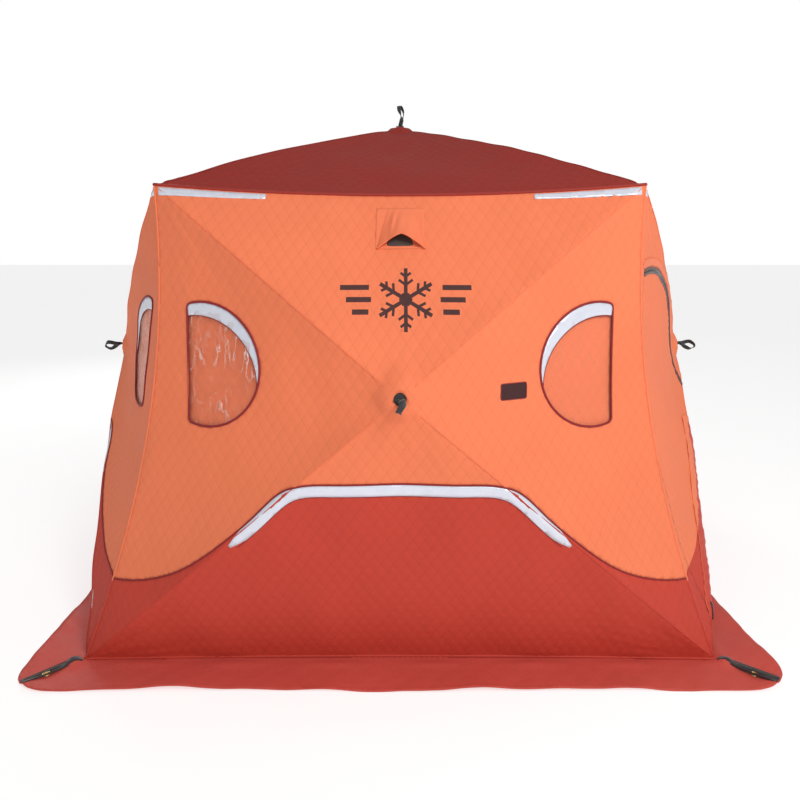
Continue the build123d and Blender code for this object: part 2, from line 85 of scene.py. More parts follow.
# The arched seam's right half, from the wall's middle, as X and Z.
ARCH = [
    (0, 0.752), (0.230, 0.750), (0.375, 0.738), (0.500, 0.636),
    (0.610, 0.536), (0.800, 0.396), (1.000, 0.314), (1.320, 0.268),
]
ARCH_TAPE = 0.043
ARCH_TAPE_X = 0.600
WINDOW_X, WINDOW_Z, WINDOW_R = 0.722, 1.118, 0.225
WINDOW_FLAT_X = 0.790
WINDOW_CORNER = 0.018
CRESCENT_X, CRESCENT_Z, CRESCENT_R = 0.745, 1.056, 0.236
DOOR_HINGE = [(-1.075, 0.060), (-0.850, 1.440)]
DOOR_ZIP = [(-0.330, 0.060), (-0.205, 0.800)]
VENT_Z = 1.607
VENT_HALF_WIDE = 0.088
VENT_HALF_TALL = 0.074
EAVE_TAPE_X = (0.500, 0.893)
EAVE_TAPE_WIDTH = (0.020, 0.030)
SIDE_PATCH = [(0.3485, 1.0215), (0.4435, 1.0215), (0.4435, 1.0765), (0.3485, 1.0765)]
CORNER_FLAP = [(-0.360, 0.760), (-0.720, 0.430), (-1.065, 0.100)]
CORNER_TAB = [(-1.030, 0.150), (-1.070, 0.095)]
GROMMET_AT = 1.300
STRAP_AT = 1.284
STRAP_LENGTH = 0.215
STRAP_WIDTH = 0.034
GROMMET_HOLE = 0.0105
GROMMET_PROFILE = [
    (0.0090, 0.0002), (0.0090, 0.0062), (0.0102, 0.0074), (0.0124, 0.0076), (0.0150, 0.0068),
    (0.0168, 0.0056), (0.0170, 0.0046), (0.0104, 0.0046), (0.0104, 0.0002),
]
LOOP_REACH = 0.090
LOOP_SPREAD = 0.020
LOOP_HALF_WIDE = 0.0095
LOOP_HALF_THICK = 0.0011
LOOP_SECTION = [
    (-1, -1), (-0.5, -1.25), (0, -1.3), (0.5, -1.25), (1, -1),
    (1, 1), (0.5, 1.25), (0, 1.3), (-0.5, 1.25), (-1, 1),
]
TACK_PROFILE = [
    (0.0085, -0.007), (0.0098, -0.005), (0.0100, 0.0), (0.0096, 0.005), (0.0084, 0.007),
    (0.004, 0.0065), (0.004, -0.0065),
]

# ---- the cloth ----
DIAMOND_WIDE = 0.045
DIAMOND_TALL = 0.066
DIAMOND_PARTS = 3  # divisions of a diamond's side
PUFF = 0.0021  # the padding's height between stitched lines
CLOTH_THICK = 0.003
HUB_OPENING = 0.021
PATCH_PROUD = PUFF + 0.0004  # the least height of a sewn piece's outer side
COVER_GROW = 0.018  # how far a window cover laps over the window's edge
COVER_IN = 0.0110
# The cloth's level over a hub, against the distance from the hub's axis.
TENT_REACH = [0.0, 0.034, 0.052, 2.052]
TENT_LEVEL = [0.0100, 0.0100, 0.0034, -2.0]
TENT_SOFT = 0.006  # how far the tent's edge is rounded
POLE_SHARE = 0.985  # a little less than the poles' share of the hub's travel
FLAT_LEVEL = 0.125  # behind a wall's plane

# ---- light and camera ----
SKY_SEEN, SKY_LIGHT = 1.0, 0.47
KEY_POWER, BACK_POWER = 195, 90  # watts
CAMERA_AT = (0, -3.705, 1.541)
CAMERA_TILT = 0.208  # radians, down
LENS = 32.7  # mm


# ---- materials ----
class Nodes:
    """A principled material with short calls for its nodes."""

    def __init__(self, name, colour, roughness, **sockets):
        self.material = bpy.data.materials.new(name)
        self.material.use_nodes = True
        self.tree = self.material.node_tree
        self.shader = self.tree.nodes["Principled BSDF"]
        self.material.diffuse_color = (*colour, 1)
        self.shader.inputs["Base Color"].default_value = (*colour, 1)
        self.shader.inputs["Roughness"].default_value = roughness
        for socket, value in sockets.items():
            self.shader.inputs[socket.replace("_", " ")].default_value = value

    def add(self, kind, inputs=None, **settings):
        node = self.tree.nodes.new(kind)
        for key, value in settings.items():
            setattr(node, key, value)
        for key, value in (inputs or {}).items():
            if isinstance(value, bpy.types.NodeSocket):
                self.tree.links.new(value, node.inputs[key])
            else:
                node.inputs[key].default_value = value
        return node

    def math(self, operation, a, b=0.0, c=0.0):
        return self.add("ShaderNodeMath", {0: a, 1: b, 2: c}, operation=operation).outputs[0]

    def noise(self, vector, scale, detail=3.0, rough=0.55):
        inputs = {"Vector": vector, "Scale": scale, "Detail": detail, "Roughness": rough}
        return self.add("ShaderNodeTexNoise", inputs).outputs["Fac"]

    def wave(self, vector, scale, direction, distortion=0.0):
        inputs = {"Vector": vector, "Scale": scale, "Distortion": distortion}
        node = self.add("ShaderNodeTexWave", inputs, wave_type="BANDS", bands_direction=direction)
        return node.outputs["Fac"]

    def stretched(self, vector, scale, **more):
        return self.add("ShaderNodeMapping", {"Vector": vector, "Scale": scale, **more}).outputs[0]

    def mix(self, factor, a, b):
        node = self.add("ShaderNodeMix", data_type="RGBA", blend_type="MIX")
        for index, value in ((0, factor), (6, a), (7, b)):
            if isinstance(value, bpy.types.NodeSocket):
                self.tree.links.new(value, node.inputs[index])
            elif index == 0:
                node.inputs[0].default_value = value
            else:
                node.inputs[index].default_value = (*value, 1)
        return node.outputs[2]

    def coords(self, name="Object"):
        return self.add("ShaderNodeTexCoord").outputs[name]

    def uv(self):
        return self.add("ShaderNodeSeparateXYZ", {0: self.coords("UV")}).outputs

    def bump(self, height, distance, strength=1.0, normal=None):
        inputs = {"Height": height, "Distance": distance, "Strength": strength}
        if normal is not None:
            inputs["Normal"] = normal
        return self.add("ShaderNodeBump", inputs).outputs["Normal"]

    def set(self, **sockets):
        for socket, value in sockets.items():
            self.tree.links.new(value, self.shader.inputs[socket.replace("_", " ")])
        return self.material


def scaled(colour, factor):
    return tuple(c * factor for c in colour)


def woven(nodes, position):
    """The height of a fine plain weave, about 0.7 mm between threads."""
    warp = nodes.wave(position, 230.0, "X", 0.4)
    fill = nodes.wave(position, 230.0, "Z", 0.4)
    return nodes.math("MULTIPLY", warp, fill)


def quilted_cloth(name, colour, roughness=0.6, stitch_shade_and_thread=0.72):
    """Coated polyester quilted in diamonds: UV holds the diamond lattice, one unit to a diamond."""
    n = Nodes(name, colour, roughness, Sheen_Weight=0.01, Sheen_Roughness=0.5, Specular_IOR_Level=0.10)
    position = n.coords()
    s, t, _ = n.uv()
    lines = None
    for along, across in ((s, t), (t, s)):
        # each stitched line with its thread's dashes: it darkens the colour below, a painted shade of the
        # stitch valleys with darker thread, and dents the bump
        middle = n.math("ABSOLUTE", n.math("SUBTRACT", n.math("FRACT", across), 0.5))
        line = n.math("GREATER_THAN", middle, 0.478)
        dash = n.math("GREATER_THAN", n.math("FRACT", n.math("MULTIPLY", along, 9.0)), 0.34)
        thread_and_valley_shade = n.math("MULTIPLY", line, n.math("MULTIPLY_ADD", dash, 0.55, 0.45))
        lines = thread_and_valley_shade if lines is None else n.math("MAXIMUM", lines, thread_and_valley_shade)
    blotch = n.noise(position, 3.2, 4.0)
    streak = n.noise(n.stretched(position, (9, 9, 1.5)), 2.0, 5.0)
    tone = n.mix(blotch, scaled(colour, 0.90), scaled(colour, 1.08))
    tone = n.mix(n.math("MULTIPLY", streak, 0.35), tone, scaled(colour, 0.86))
    # the stitched lines are painted darker: painted shade in the stitch valleys, darker still in the
    # thread's dashes
    tone = n.mix(n.math("MULTIPLY", lines, 0.42), tone, scaled(colour, stitch_shade_and_thread))
    weave = woven(n, position)
    crumple = n.noise(position, 42.0, 5.0, 0.6)
    normal = n.bump(crumple, 0.0030, 0.35)
    normal = n.bump(weave, 0.0003, 0.30, normal)
    normal = n.bump(n.math("SUBTRACT", 1.0, lines), 0.0009, 0.55, normal)
    rough = n.math("MULTIPLY_ADD", blotch, 0.22, roughness - 0.11)
    return n.set(Base_Color=tone, Normal=normal, Roughness=rough)


def plain_cloth(name, colour, roughness=0.5, crumple_size=0.004):
    """Coated oxford cloth with a fine square weave and soft crumples."""
    n = Nodes(name, colour, roughness, Sheen_Weight=0.01, Sheen_Roughness=0.5, Specular_IOR_Level=0.16)
    position = n.coords()
    blotch = n.noise(position, 4.0, 5.0)
    dust = n.noise(position, 60.0, 4.0, 0.7)
    tone = n.mix(blotch, scaled(colour, 0.86), scaled(colour, 1.10))
    tone = n.mix(n.math("MULTIPLY", n.math("POWER", dust, 3.0), 0.5), tone, scaled(colour, 0.72))
    normal = n.bump(n.noise(position, 26.0, 6.0, 0.62), crumple_size, 0.45)
    normal = n.bump(woven(n, position), 0.0003, 0.35, normal)
    rough = n.math("MULTIPLY_ADD", blotch, 0.25, roughness - 0.12)
    return n.set(Base_Color=tone, Normal=normal, Roughness=rough)


def webbing(name, colour):
    """Ribbed polypropylene webbing: UV runs along and across it, in metres."""
    n = Nodes(name, colour, 0.6, Sheen_Weight=0.3, Specular_IOR_Level=0.35)
    along, across, _ = n.uv()
    rib = n.math("SINE", n.math("MULTIPLY", along, 2 * math.pi / 0.0022))
    cord = n.math("SINE", n.math("MULTIPLY", across, 2 * math.pi / 0.0030))
    height = n.math("MULTIPLY_ADD", n.math("MULTIPLY", rib, cord), 0.5, 0.5)
    fuzz = n.noise(n.coords(), 900.0, 2.0)
    # the colour follows the rib height: painted shade in the hollows between the ribs and a painted
    # highlight on their tops
    tone = n.mix(height, scaled(colour, 0.5), scaled(colour, 1.6))
    tone = n.mix(n.math("MULTIPLY", fuzz, 0.4), tone, scaled(colour, 2.2))
    return n.set(Base_Color=tone, Normal=n.bump(height, 0.0006, 0.8))


def reflective(name):
    """Silver retroreflective tape: fine glass beads on a cloth backing, slightly rippled."""
    n = Nodes(name, (0.60, 0.63, 0.72), 0.34, Metallic=0.25, Specular_IOR_Level=0.6)
    position = n.coords()
    beads = n.add("ShaderNodeTexVoronoi", {"Vector": position, "Scale": 900.0}).outputs["Distance"]
    ripple = n.noise(position, 30.0, 3.0)
    tone = n.mix(ripple, (0.66, 0.69, 0.79), (0.82, 0.85, 0.92))
    tone = n.mix(n.math("MULTIPLY", beads, 0.35), tone, (0.50, 0.52, 0.60))
    normal = n.bump(ripple, 0.0016, 0.5)
    return n.set(Base_Color=tone, Normal=n.bump(beads, 0.0002, 0.4, normal))


def vinyl(name, glint_amount):
    """Clear window film with scuffs and painted highlights: along noise lines its colour turns near-white
    and its opacity rises, by the amount of its second argument.
    """
    n = Nodes(name, (0.95, 0.60, 0.45), 0.06, Specular_IOR_Level=0.9, IOR=1.5)
    position = n.coords()
    scuff = n.math("POWER", n.noise(position, 70.0, 6.0, 0.7), 4.0)
    facing = n.add("ShaderNodeLayerWeight", {"Blend": 0.12}).outputs["Fresnel"]
    slanted = n.stretched(position, (26, 26, 9), Rotation=(0, 0.7, 0))
    fold = n.math("ABSOLUTE", n.math("SUBTRACT", n.noise(slanted, 1.0, 3.0, 0.5), 0.5))
    glint_line = n.math("MAXIMUM", n.math("SUBTRACT", 1.0, n.math("MULTIPLY", fold, 22.0)), 0.0)
    patchy = n.math("MAXIMUM", n.math("SUBTRACT", n.noise(position, 9.0, 3.0), 0.42), 0.0)
    # painted highlights: glints painted along the noise lines, which lighten the colour and raise the
    # opacity
    glint = n.math("MULTIPLY", n.math("MULTIPLY", n.math("POWER", glint_line, 1.6), patchy), 4.0 * glint_amount)
    opacity = n.math("ADD", n.math("MULTIPLY_ADD", facing, 0.35, 0.07), n.math("MULTIPLY", glint, 0.8))
    tone = n.mix(glint, (0.80, 0.36, 0.22), (1.0, 0.92, 0.90))
    normal = n.bump(n.noise(position, 24.0, 5.0, 0.6), 0.0040, 0.7)
    rough = n.math("MULTIPLY_ADD", scuff, 0.5, 0.05)
    return n.set(Base_Color=tone, Alpha=opacity, Normal=normal, Roughness=rough)


def moulded(name, colour, roughness=0.42, grain=260.0):
    """Injection-moulded plastic with a fine spark grain and rubbed high spots."""
    n = Nodes(name, colour, roughness, Specular_IOR_Level=0.5)
    position = n.coords()
    fine = n.noise(position, grain, 3.0)
    rub = n.noise(position, 14.0, 5.0)
    tone = n.mix(rub, scaled(colour, 0.8), scaled(colour, 1.7))
    rough = n.math("MULTIPLY_ADD", rub, 0.3, roughness - 0.15)
    return n.set(Base_Color=tone, Roughness=rough, Normal=n.bump(fine, 0.0004, 0.35))


def brushed_metal(name, colour, roughness=0.3):
    """Plated metal with hairline scratches and tarnish."""
    n = Nodes(name, colour, roughness, Metallic=1.0)
    position = n.coords()
    tarnish = n.noise(position, 90.0, 5.0)
    hair = n.noise(n.stretched(position, (20, 900, 20)), 3.0)
    tone = n.mix(tarnish, scaled(colour, 0.55), scaled(colour, 1.1))
    rough = n.math("MULTIPLY_ADD", tarnish, 0.35, roughness - 0.12)
    return n.set(Base_Color=tone, Roughness=rough, Normal=n.bump(hair, 0.0002, 0.3))


def fibreglass(name):
    """A pultruded rod: pale resin with dark lengthwise fibres."""
    n = Nodes(name, (0.62, 0.60, 0.52), 0.35, Coat_Weight=0.3)
    position = n.coords()
    fibres = n.noise(n.stretched(position, (420, 420, 30)), 1.5, 6.0)
    tone = n.mix(fibres, (0.34, 0.33, 0.27), (0.80, 0.78, 0.68))
    return n.set(Base_Color=tone, Normal=n.bump(fibres, 0.0002, 0.4))


def mesh_cloth(name):
    """Dark insect mesh: square holes 1.6 mm apart, deeper in the bump and painted as darker spots, a painted
    shade of the dim inside seen through them.
    """
    n = Nodes(name, (0.030, 0.022, 0.020), 0.75, Sheen_Weight=0.2)
    position = n.coords()
    holes = n.math("MULTIPLY", n.wave(position, 100.0, "X"), n.wave(position, 100.0, "Z"))
    # the holes take a darker colour: painted shade of the inside behind the mesh
    tone = n.mix(holes, (0.085, 0.060, 0.052), (0.012, 0.009, 0.009))
    return n.set(Base_Color=tone, Normal=n.bump(holes, 0.0008, 0.8))


ORANGE = (0.880, 0.218, 0.100)
DARK_RED = (0.560, 0.062, 0.040)
ROOF_RED = (0.300, 0.032, 0.024)
BROWN = (0.085, 0.040, 0.038)

MATS = {
    "orange": quilted_cloth("orange_quilt", ORANGE),
    "low_red": quilted_cloth("lower_quilt", DARK_RED),
    "roof_red": quilted_cloth("roof_quilt", ROOF_RED, 0.62),
    "print": quilted_cloth("printed_brown", BROWN, 0.46, 0.6),
    "lining": quilted_cloth("lining", (0.060, 0.050, 0.048), 0.6),
    "cover": quilted_cloth("window_cover", ORANGE, 0.5),
    "skirt": plain_cloth("skirt_cloth", (0.600, 0.092, 0.070), 0.5),
    "orange_plain": plain_cloth("orange_plain", ORANGE, 0.5),
    "red_piping": plain_cloth("red_piping", (0.270, 0.028, 0.034), 0.5, 0.001),
    "red_seam": plain_cloth("red_seam", scaled(DARK_RED, 1.02), 0.5, 0.001),
    "roof_seam": plain_cloth("roof_seam", scaled(ROOF_RED, 1.1), 0.5, 0.001),
    "patch": plain_cloth("label_cloth", (0.060, 0.022, 0.022), 0.55, 0.001),
    "patch_edge": plain_cloth("label_border", (0.230, 0.040, 0.045), 0.55, 0.001),
    "reflective": reflective("reflective_tape"),
    # the second number is the strength of the film's painted highlights
    "vinyl": vinyl("clear_vinyl", 0.05),
    "vinyl_creased_glinting": vinyl("creased_glinting_vinyl", 0.9),
    "mesh": mesh_cloth("vent_mesh"),
    "webbing": webbing("black_webbing", (0.020, 0.019, 0.019)),
    "zip_tape": webbing("zip_tape", (0.060, 0.018, 0.016)),
    "plastic": moulded("black_plastic", (0.022, 0.021, 0.021)),
    "zip_teeth": moulded("zip_teeth", (0.030, 0.028, 0.028), 0.35),
    "brass": brushed_metal("brass", (0.78, 0.56, 0.24)),
    "steel": brushed_metal("steel", (0.55, 0.55, 0.56)),
    "fibreglass": fibreglass("fibreglass"),
}


# ---- the fabric surfaces ----
class Surface:
    """A wall or the roof: four bowed panels that meet in a hub, over two drawing coordinates.

    edges are its four sides, out is the way the hub stands out, plane says which two coordinates it is
    drawn in, turn is its angle about Z in degrees, and seed is for its creases.
    """

    def __init__(self, edges, hub, out, plane, turn, seed):
        self.edges, self.hub, self.out = edges, hub, out
        self.plane, self.turn = plane, turn
        rng = np.random.default_rng(seed)
        angles = rng.uniform(0, math.pi, 7)
        sizes = rng.uniform(0.16, 0.52, 7)
        self.waves = np.stack([np.cos(angles), np.sin(angles)], 1) * (2 * math.pi / sizes)[:, None]
        self.phases = rng.uniform(0, 2 * math.pi, 7)
        self.heights = 0.0030 * sizes
        self.corner_phase = rng.uniform(0, 2 * math.pi, 4)
        rims = [self.rim(edge, np.linspace(0, 1, 61))[:, plane] for edge in edges]
        self.outline = np.concatenate([rim[:-1] for rim in rims])
        climb = np.linspace(0, 0.97, 41)
        self.ridges = [self.point(edge, np.zeros(41), climb)[:, plane] for edge in edges]
        self.border = nearest_finder([looped(self.outline)])

    @staticmethod
    def rim(edge, u):
        start, end, bow = edge
        u = np.asarray(u)[:, None]
        return start * (1 - u) + end * u + bow * (4 * u * (1 - u))

    def point(self, edge, u, v):
        """Where the CAD has the point of one panel: v runs from the edge, 0, to the hub, 1."""
        crown = POLE_BOW * 4 * v * (1 - v) * (1 - 2 * u * (1 - u))
        return self.rim(edge, u) * (1 - v)[:, None] + self.hub * v[:, None] + self.out * crown[:, None]

    def solve(self, edge, flat):
        """u and v of drawing points on one panel, by Newton's method."""
        plane = list(self.plane)
        start, end, bow = (np.asarray(k)[plane] for k in edge)
        hub, out = self.hub[plane], self.out[plane]
        base = np.array([start - hub, end - start]).T
        share = np.linalg.solve(base, (flat - hub).T)
        v = np.clip(1 - share[0], -0.2, 0.9995)
        u = np.clip(share[1] / (1 - v), -0.5, 1.5)
        for _ in range(9):
            rim = start + (end - start) * u[:, None] + bow * (4 * u * (1 - u))[:, None]
            crown = 1 - 2 * u * (1 - u)
            lift = POLE_BOW * 4 * v * (1 - v)
            error = rim * (1 - v)[:, None] + hub * v[:, None] + out * (lift * crown)[:, None] - flat
            by_u = (end - start + bow * (4 - 8 * u)[:, None]) * (1 - v)[:, None]
            by_u += out * (lift * (4 * u - 2))[:, None]
            by_v = hub - rim + out * (POLE_BOW * 4 * (1 - 2 * v) * crown)[:, None]
            det = by_u[:, 0] * by_v[:, 1] - by_u[:, 1] * by_v[:, 0]
            det = np.where(np.abs(det) < 1e-9, 1e-9, det)
            u = np.clip(u - (error[:, 0] * by_v[:, 1] - error[:, 1] * by_v[:, 0]) / det, -1, 2)
            v = np.clip(v - (by_u[:, 0] * error[:, 1] - by_u[:, 1] * error[:, 0]) / det, -0.3, 0.9998)
        return u, v

    def locate(self, flat):
        """The CAD surface's unturned points over drawing points, and their way from the edge to the hub."""
        best = np.full(len(flat), np.inf)
        found = np.zeros((len(flat), 3))
        reach = np.zeros(len(flat))
        for edge in self.edges:
            u, v = self.solve(edge, flat)
            miss = np.maximum(np.maximum(-u, u - 1), 0) + np.maximum(-v, 0)
            here = self.point(edge, u, v)
            off = np.linalg.norm(here[:, self.plane] - flat, axis=1)
            miss = miss + np.where(off > 1e-3, 10.0, 0.0)
            better = miss < best
            best = np.where(better, miss, best)
            found[better] = here[better]
            reach[better] = v[better]
        return found, reach

    def smooth(self, flat):
        return self.locate(flat)[0]

    def share(self, points):
        """How much of the hub's travel each point of the row frame takes: as much as the poles beside it."""
        flat = self.turned(points, -1)[:, list(self.plane)]
        return np.clip(self.locate(flat)[1] * POLE_SHARE, 0, 1)

    def relief(self, flat):
        """Undulations and creases of the tight cloth, which fade out at its edges and at the hub."""
        reach, along = self.border(flat)
        corners = self.outline[::60]
        height = np.zeros(len(flat))
        for wave, phase, size in zip(self.waves, self.phases, self.heights):
            height += size * np.sin(flat @ wave + phase)
        for corner, phase in zip(corners, self.corner_phase):
            away = flat - corner
            distance = np.linalg.norm(away, axis=1)
            angle = np.arctan2(away[:, 1], away[:, 0])
            rays = np.sin(38 * angle + phase + 3 * np.sin(9 * angle)) * np.exp(-distance / 0.26)
            height += 0.0034 * rays * np.clip(distance / 0.10, 0, 1)
        pucker = np.sin(along * 2 * math.pi / 0.034 + 2.5 * np.sin(along * 9.0))
        height += 0.0016 * pucker * np.exp(-reach / 0.040) * np.clip(reach / 0.012, 0, 1)
        away = flat - self.hub[list(self.plane)]
        from_hub = np.linalg.norm(away, axis=1)
        angle = np.arctan2(away[:, 1], away[:, 0])
        rays = np.sin(23 * angle + self.corner_phase[0] + 2 * np.sin(7 * angle))
        height += 0.0020 * rays * np.exp(-from_hub / 0.20)
        return height * np.clip(reach / 0.025, 0, 1) * np.clip((from_hub - 0.04) / 0.10, 0, 1)

    def place(self, flat, proud=0.0):
        """Points on the creased surface in the row frame, proud of it by so much, over the hub's cap."""
        flat = np.asarray(flat, float)
        raised = self.smooth(flat) + self.out * self.relief(flat)[:, None]
        level = (raised - self.hub) @ self.out
        from_hub = np.linalg.norm(flat - self.hub[list(self.plane)], axis=1)
        tent = np.interp(from_hub, TENT_REACH, TENT_LEVEL)
        above = (tent - level + np.hypot(tent - level, TENT_SOFT)) / 2
        return self.turned(raised + self.out * (above + proud)[:, None])

    def turned(self, points, way=1):
        angle = math.radians(self.turn) * way
        cos, sin = round(math.cos(angle), 12), round(math.sin(angle), 12)
        return points @ np.array([[cos, sin, 0], [-sin, cos, 0], [0, 0, 1]])


def nearest_finder(lines, step=0.008):
    """A function that gives each point's distance to some polylines, and how far along it is nearest."""
    samples, lengths = [], []
    for line in lines:
        dense, travelled = resample(np.asarray(line, float), step)
        samples.append(dense)
        lengths.append(travelled)
    points, lengths = np.concatenate(samples), np.concatenate(lengths)
    tree = KDTree(len(points))
    for index, (x, y) in enumerate(points):
        tree.insert((x, y, 0), index)
    tree.balance()

    def find(flat):
        found = [tree.find((x, y, 0)) for x, y in flat]
        distance = np.array([f[2] for f in found])
        return distance, lengths[[f[1] for f in found]]

    return find


def unit(vectors):
    return vectors / np.linalg.norm(vectors, axis=1)[:, None]


def looped(line):
    """A line with its first point again at its end."""
    return np.concatenate([line, line[:1]])


def travel(line):
    """How far along a polyline each of its points is."""
    return np.concatenate([[0], np.cumsum(np.linalg.norm(np.diff(line, axis=0), axis=1))])


def right_of(line):
    """Unit vectors across a drawn line, to its right."""
    along = np.gradient(line, axis=0)
    return unit(np.stack([along[:, 1], -along[:, 0]], 1))


def resample(line, step):
    """A polyline's points at an even step, ends kept, with their distance along it."""
    travelled = travel(line)
    count = max(2, int(round(travelled[-1] / step)) + 1)
    at = np.linspace(0, travelled[-1], count)
    return np.stack([np.interp(at, travelled, line[:, k]) for k in range(line.shape[1])], 1), at


def spline(points, count=160):
    """A natural cubic spline through points, by chord length."""
    points = np.asarray(points, float)
    knots = travel(points)
    gaps = np.diff(knots)
    size = len(points)
    system = np.eye(size)
    right = np.zeros_like(points)
    for i in range(1, size - 1):
        system[i, i - 1 : i + 2] = gaps[i - 1], 2 * (gaps[i - 1] + gaps[i]), gaps[i]
        right[i] = 6 * ((points[i + 1] - points[i]) / gaps[i] - (points[i] - points[i - 1]) / gaps[i - 1])
    second = np.linalg.solve(system, right)
    at = np.linspace(0, knots[-1], count)
    k = np.clip(np.searchsorted(knots, at, "right") - 1, 0, size - 2)
    gap = gaps[k][:, None]
    a = ((knots[k + 1] - at) / gaps[k])[:, None]
    b = 1 - a
    bend = ((a**3 - a) * second[k] + (b**3 - b) * second[k + 1]) * gap**2 / 6
    return a * points[k] + b * points[k + 1] + bend


def wall_edges(fit):
    """A wall's left, upper, right and lower edge, each as its two ends and its bow."""
    base, top = BASE_HALF - fit, ROOF_HALF - fit
    low_left, low_right = np.array([-base, -BASE_HALF, 0]), np.array([base, -BASE_HALF, 0])
    top_left, top_right = np.array([-top, -ROOF_HALF, EAVE_Z]), np.array([top, -ROOF_HALF, EAVE_Z])
    return [
        (low_left, top_left, np.array([EDGE_BOW, EDGE_BOW, 0])),
        (top_left, top_right, np.array([0, EAVE_BOW, -EAVE_BOW])),
        (top_right, low_right, np.array([-EDGE_BOW, EDGE_BOW, 0])),
        (low_right, low_left, np.array([0, BASE_BOW, 0])),
    ]


def roof_edges():
    half = ROOF_HALF - SIDE_FIT
    start, end = np.array([-half, -half, EAVE_Z]), np.array([half, -half, EAVE_Z])
    bow = np.array([0, EAVE_BOW, -EAVE_BOW])
    turns = [np.linalg.matrix_power(np.array([[0, 1, 0], [-1, 0, 0], [0, 0, 1]]), k) for k in range(4)]
    return [(start @ turn, end @ turn, bow @ turn) for turn in turns]


SURFACES = {
    wall: Surface(wall_edges(SIDE_FIT if turn % 180 else 0.0), WALL_HUB, WALL_OUT, (0, 2), turn, 11 + turn)
    for wall, turn in WALLS.items()
}
SURFACES["roof"] = Surface(roof_edges(), ROOF_HUB, ROOF_OUT, (0, 1), 0, 5)


# ---- outlines ----
def arch_curve(drop=0.0):
    """The arched seam over the whole wall, from left to right, moved down by drop."""
    left = [(-x, z) for x, z in reversed(ARCH[1:])]
    curve = spline(left + ARCH, 240)
    return curve + right_of(curve) * drop


ARCH_LINE = arch_curve()


def under_arch(flat):
    """Which drawing points lie under the arched seam."""
    return flat[:, 1] < np.interp(flat[:, 0], ARCH_LINE[:, 0], ARCH_LINE[:, 1])


def arc(centre, radius, start, end, count):
    angles = np.linspace(start, end, count)
    return np.stack([centre[0] + radius * np.cos(angles), centre[1] + radius * np.sin(angles)], 1)


def rounded(corners, radius, count=6):
    """A closed polygon with its corners rounded."""
    corners = np.asarray(corners, float)
    points = []
    for i, corner in enumerate(corners):
        before = corners[i - 1] - corner
        after = corners[(i + 1) % len(corners)] - corner
        before, after = before / np.linalg.norm(before), after / np.linalg.norm(after)
        half = math.acos(float(np.clip(before @ after, -1, 1))) / 2
        reach = radius / math.tan(half)
        for t in np.linspace(0, 1, count):
            first, last = corner + before * reach, corner + after * reach
            points.append(first * (1 - t) ** 2 + 2 * corner * t * (1 - t) + last * t**2)
    return np.array(points)


def window_outline(side, grow=0.0):
    """The D of a window, counterclockwise: its straight side faces the wall's edge."""
    flat, radius, corner = WINDOW_FLAT_X + grow, WINDOW_R + grow, WINDOW_CORNER + grow
    inner = radius - corner
    centre_x = flat - corner
    turn = math.acos((centre_x - WINDOW_X) / inner)
    low = (centre_x, WINDOW_Z - inner * math.sin(turn))
    high = (centre_x, WINDOW_Z + inner * math.sin(turn))
    round_side = arc((WINDOW_X, WINDOW_Z), radius, turn, 2 * math.pi - turn, 64)[1:-1]
    points = np.concatenate([arc(low, corner, -turn, 0, 6), arc(high, corner, 0, turn, 6), round_side])
    return mirrored(points, side)


def mirrored(outline, side):
    """A right-hand outline, or on the left its mirror image, also counterclockwise."""
    return outline if side > 0 else (outline * [-1, 1])[::-1]


def door_outline():
    """The door's outline: foot, straight zip, round top, hinge side."""
    foot, straight = np.array(DOOR_ZIP)
    hinge_low, hinge_top = np.array(DOOR_HINGE)
    along = (straight - foot) / np.linalg.norm(straight - foot)
    normal = np.array([-along[1], along[0]])
    chord = hinge_top - straight
    radius = (chord @ chord) / (2 * (normal @ chord))
    centre = straight + normal * radius
    start = math.atan2(*(straight - centre)[::-1])
    end = math.atan2(*(hinge_top - centre)[::-1])
    end += 2 * math.pi if end < start else 0
    straight_run, _ = resample(np.array([foot, straight]), 0.02)
    hinge_run, _ = resample(np.array([hinge_top, hinge_low]), 0.02)
    return np.concatenate([straight_run[:-1], arc(centre, radius, start, end, 60), hinge_run[1:]])


def grown(outline, amount):
    """A counterclockwise polygon with every point moved outward."""
    along = unit(np.roll(outline, -1, 0) - np.roll(outline, 1, 0))
    return outline + np.stack([along[:, 1], -along[:, 0]], 1) * amount


def inside(outline, flat):
    """Which points lie inside a closed polygon."""
    x, y = flat[:, 0][:, None], flat[:, 1][:, None]
    x0, y0 = outline[:, 0], outline[:, 1]
    x1, y1 = np.roll(x0, -1), np.roll(y0, -1)
    crosses = (y0 > y) != (y1 > y)
    span = np.where(y1 == y0, 1.0, y1 - y0)
    hits = crosses & (x < (x1 - x0) * (y - y0) / span + x0)
    return hits.sum(1) % 2 == 1


def within(outlines, flat):
    """Which points lie inside any of some closed polygons."""
    found = np.zeros(len(flat), bool)
    for outline in outlines:
        found |= inside(outline, flat)
    return found


# ---- meshes ----
def lattice(low, high, wide, tall, parts):
    """The corners and the evenly divided insides of a grid of diamonds over a box."""
    far = np.abs([low, high]).max(0)
    reach = int(parts * (far[0] / wide + far[1] / tall)) + 2
    i, j = np.meshgrid(np.arange(-reach, reach + 1), np.arange(-reach, reach + 1), indexing="ij")
    x, y = wide * (i + j) / (2 * parts), tall * (i - j) / (2 * parts)
    keep = (x > low[0]) & (x < high[0]) & (y > low[1]) & (y < high[1])
    return np.stack([x[keep], y[keep]], 1)


def quilt(flat):
    """Diamond coordinates of drawing points: whole numbers along the stitched lines."""
    across, up = flat[:, 0] / DIAMOND_WIDE, flat[:, 1] / DIAMOND_TALL
    return np.stack([across + up, across - up], 1)


def puff(flat, to_line):
    """How far the padding stands up between the stitched lines, flatter beside a seam."""
    s, t = (quilt(flat) % 1.0).T
    dome = np.clip(16 * s * (1 - s) * t * (1 - t), 0, 1) ** 0.42
    return PUFF * dome * np.clip(to_line / 0.014, 0, 1)


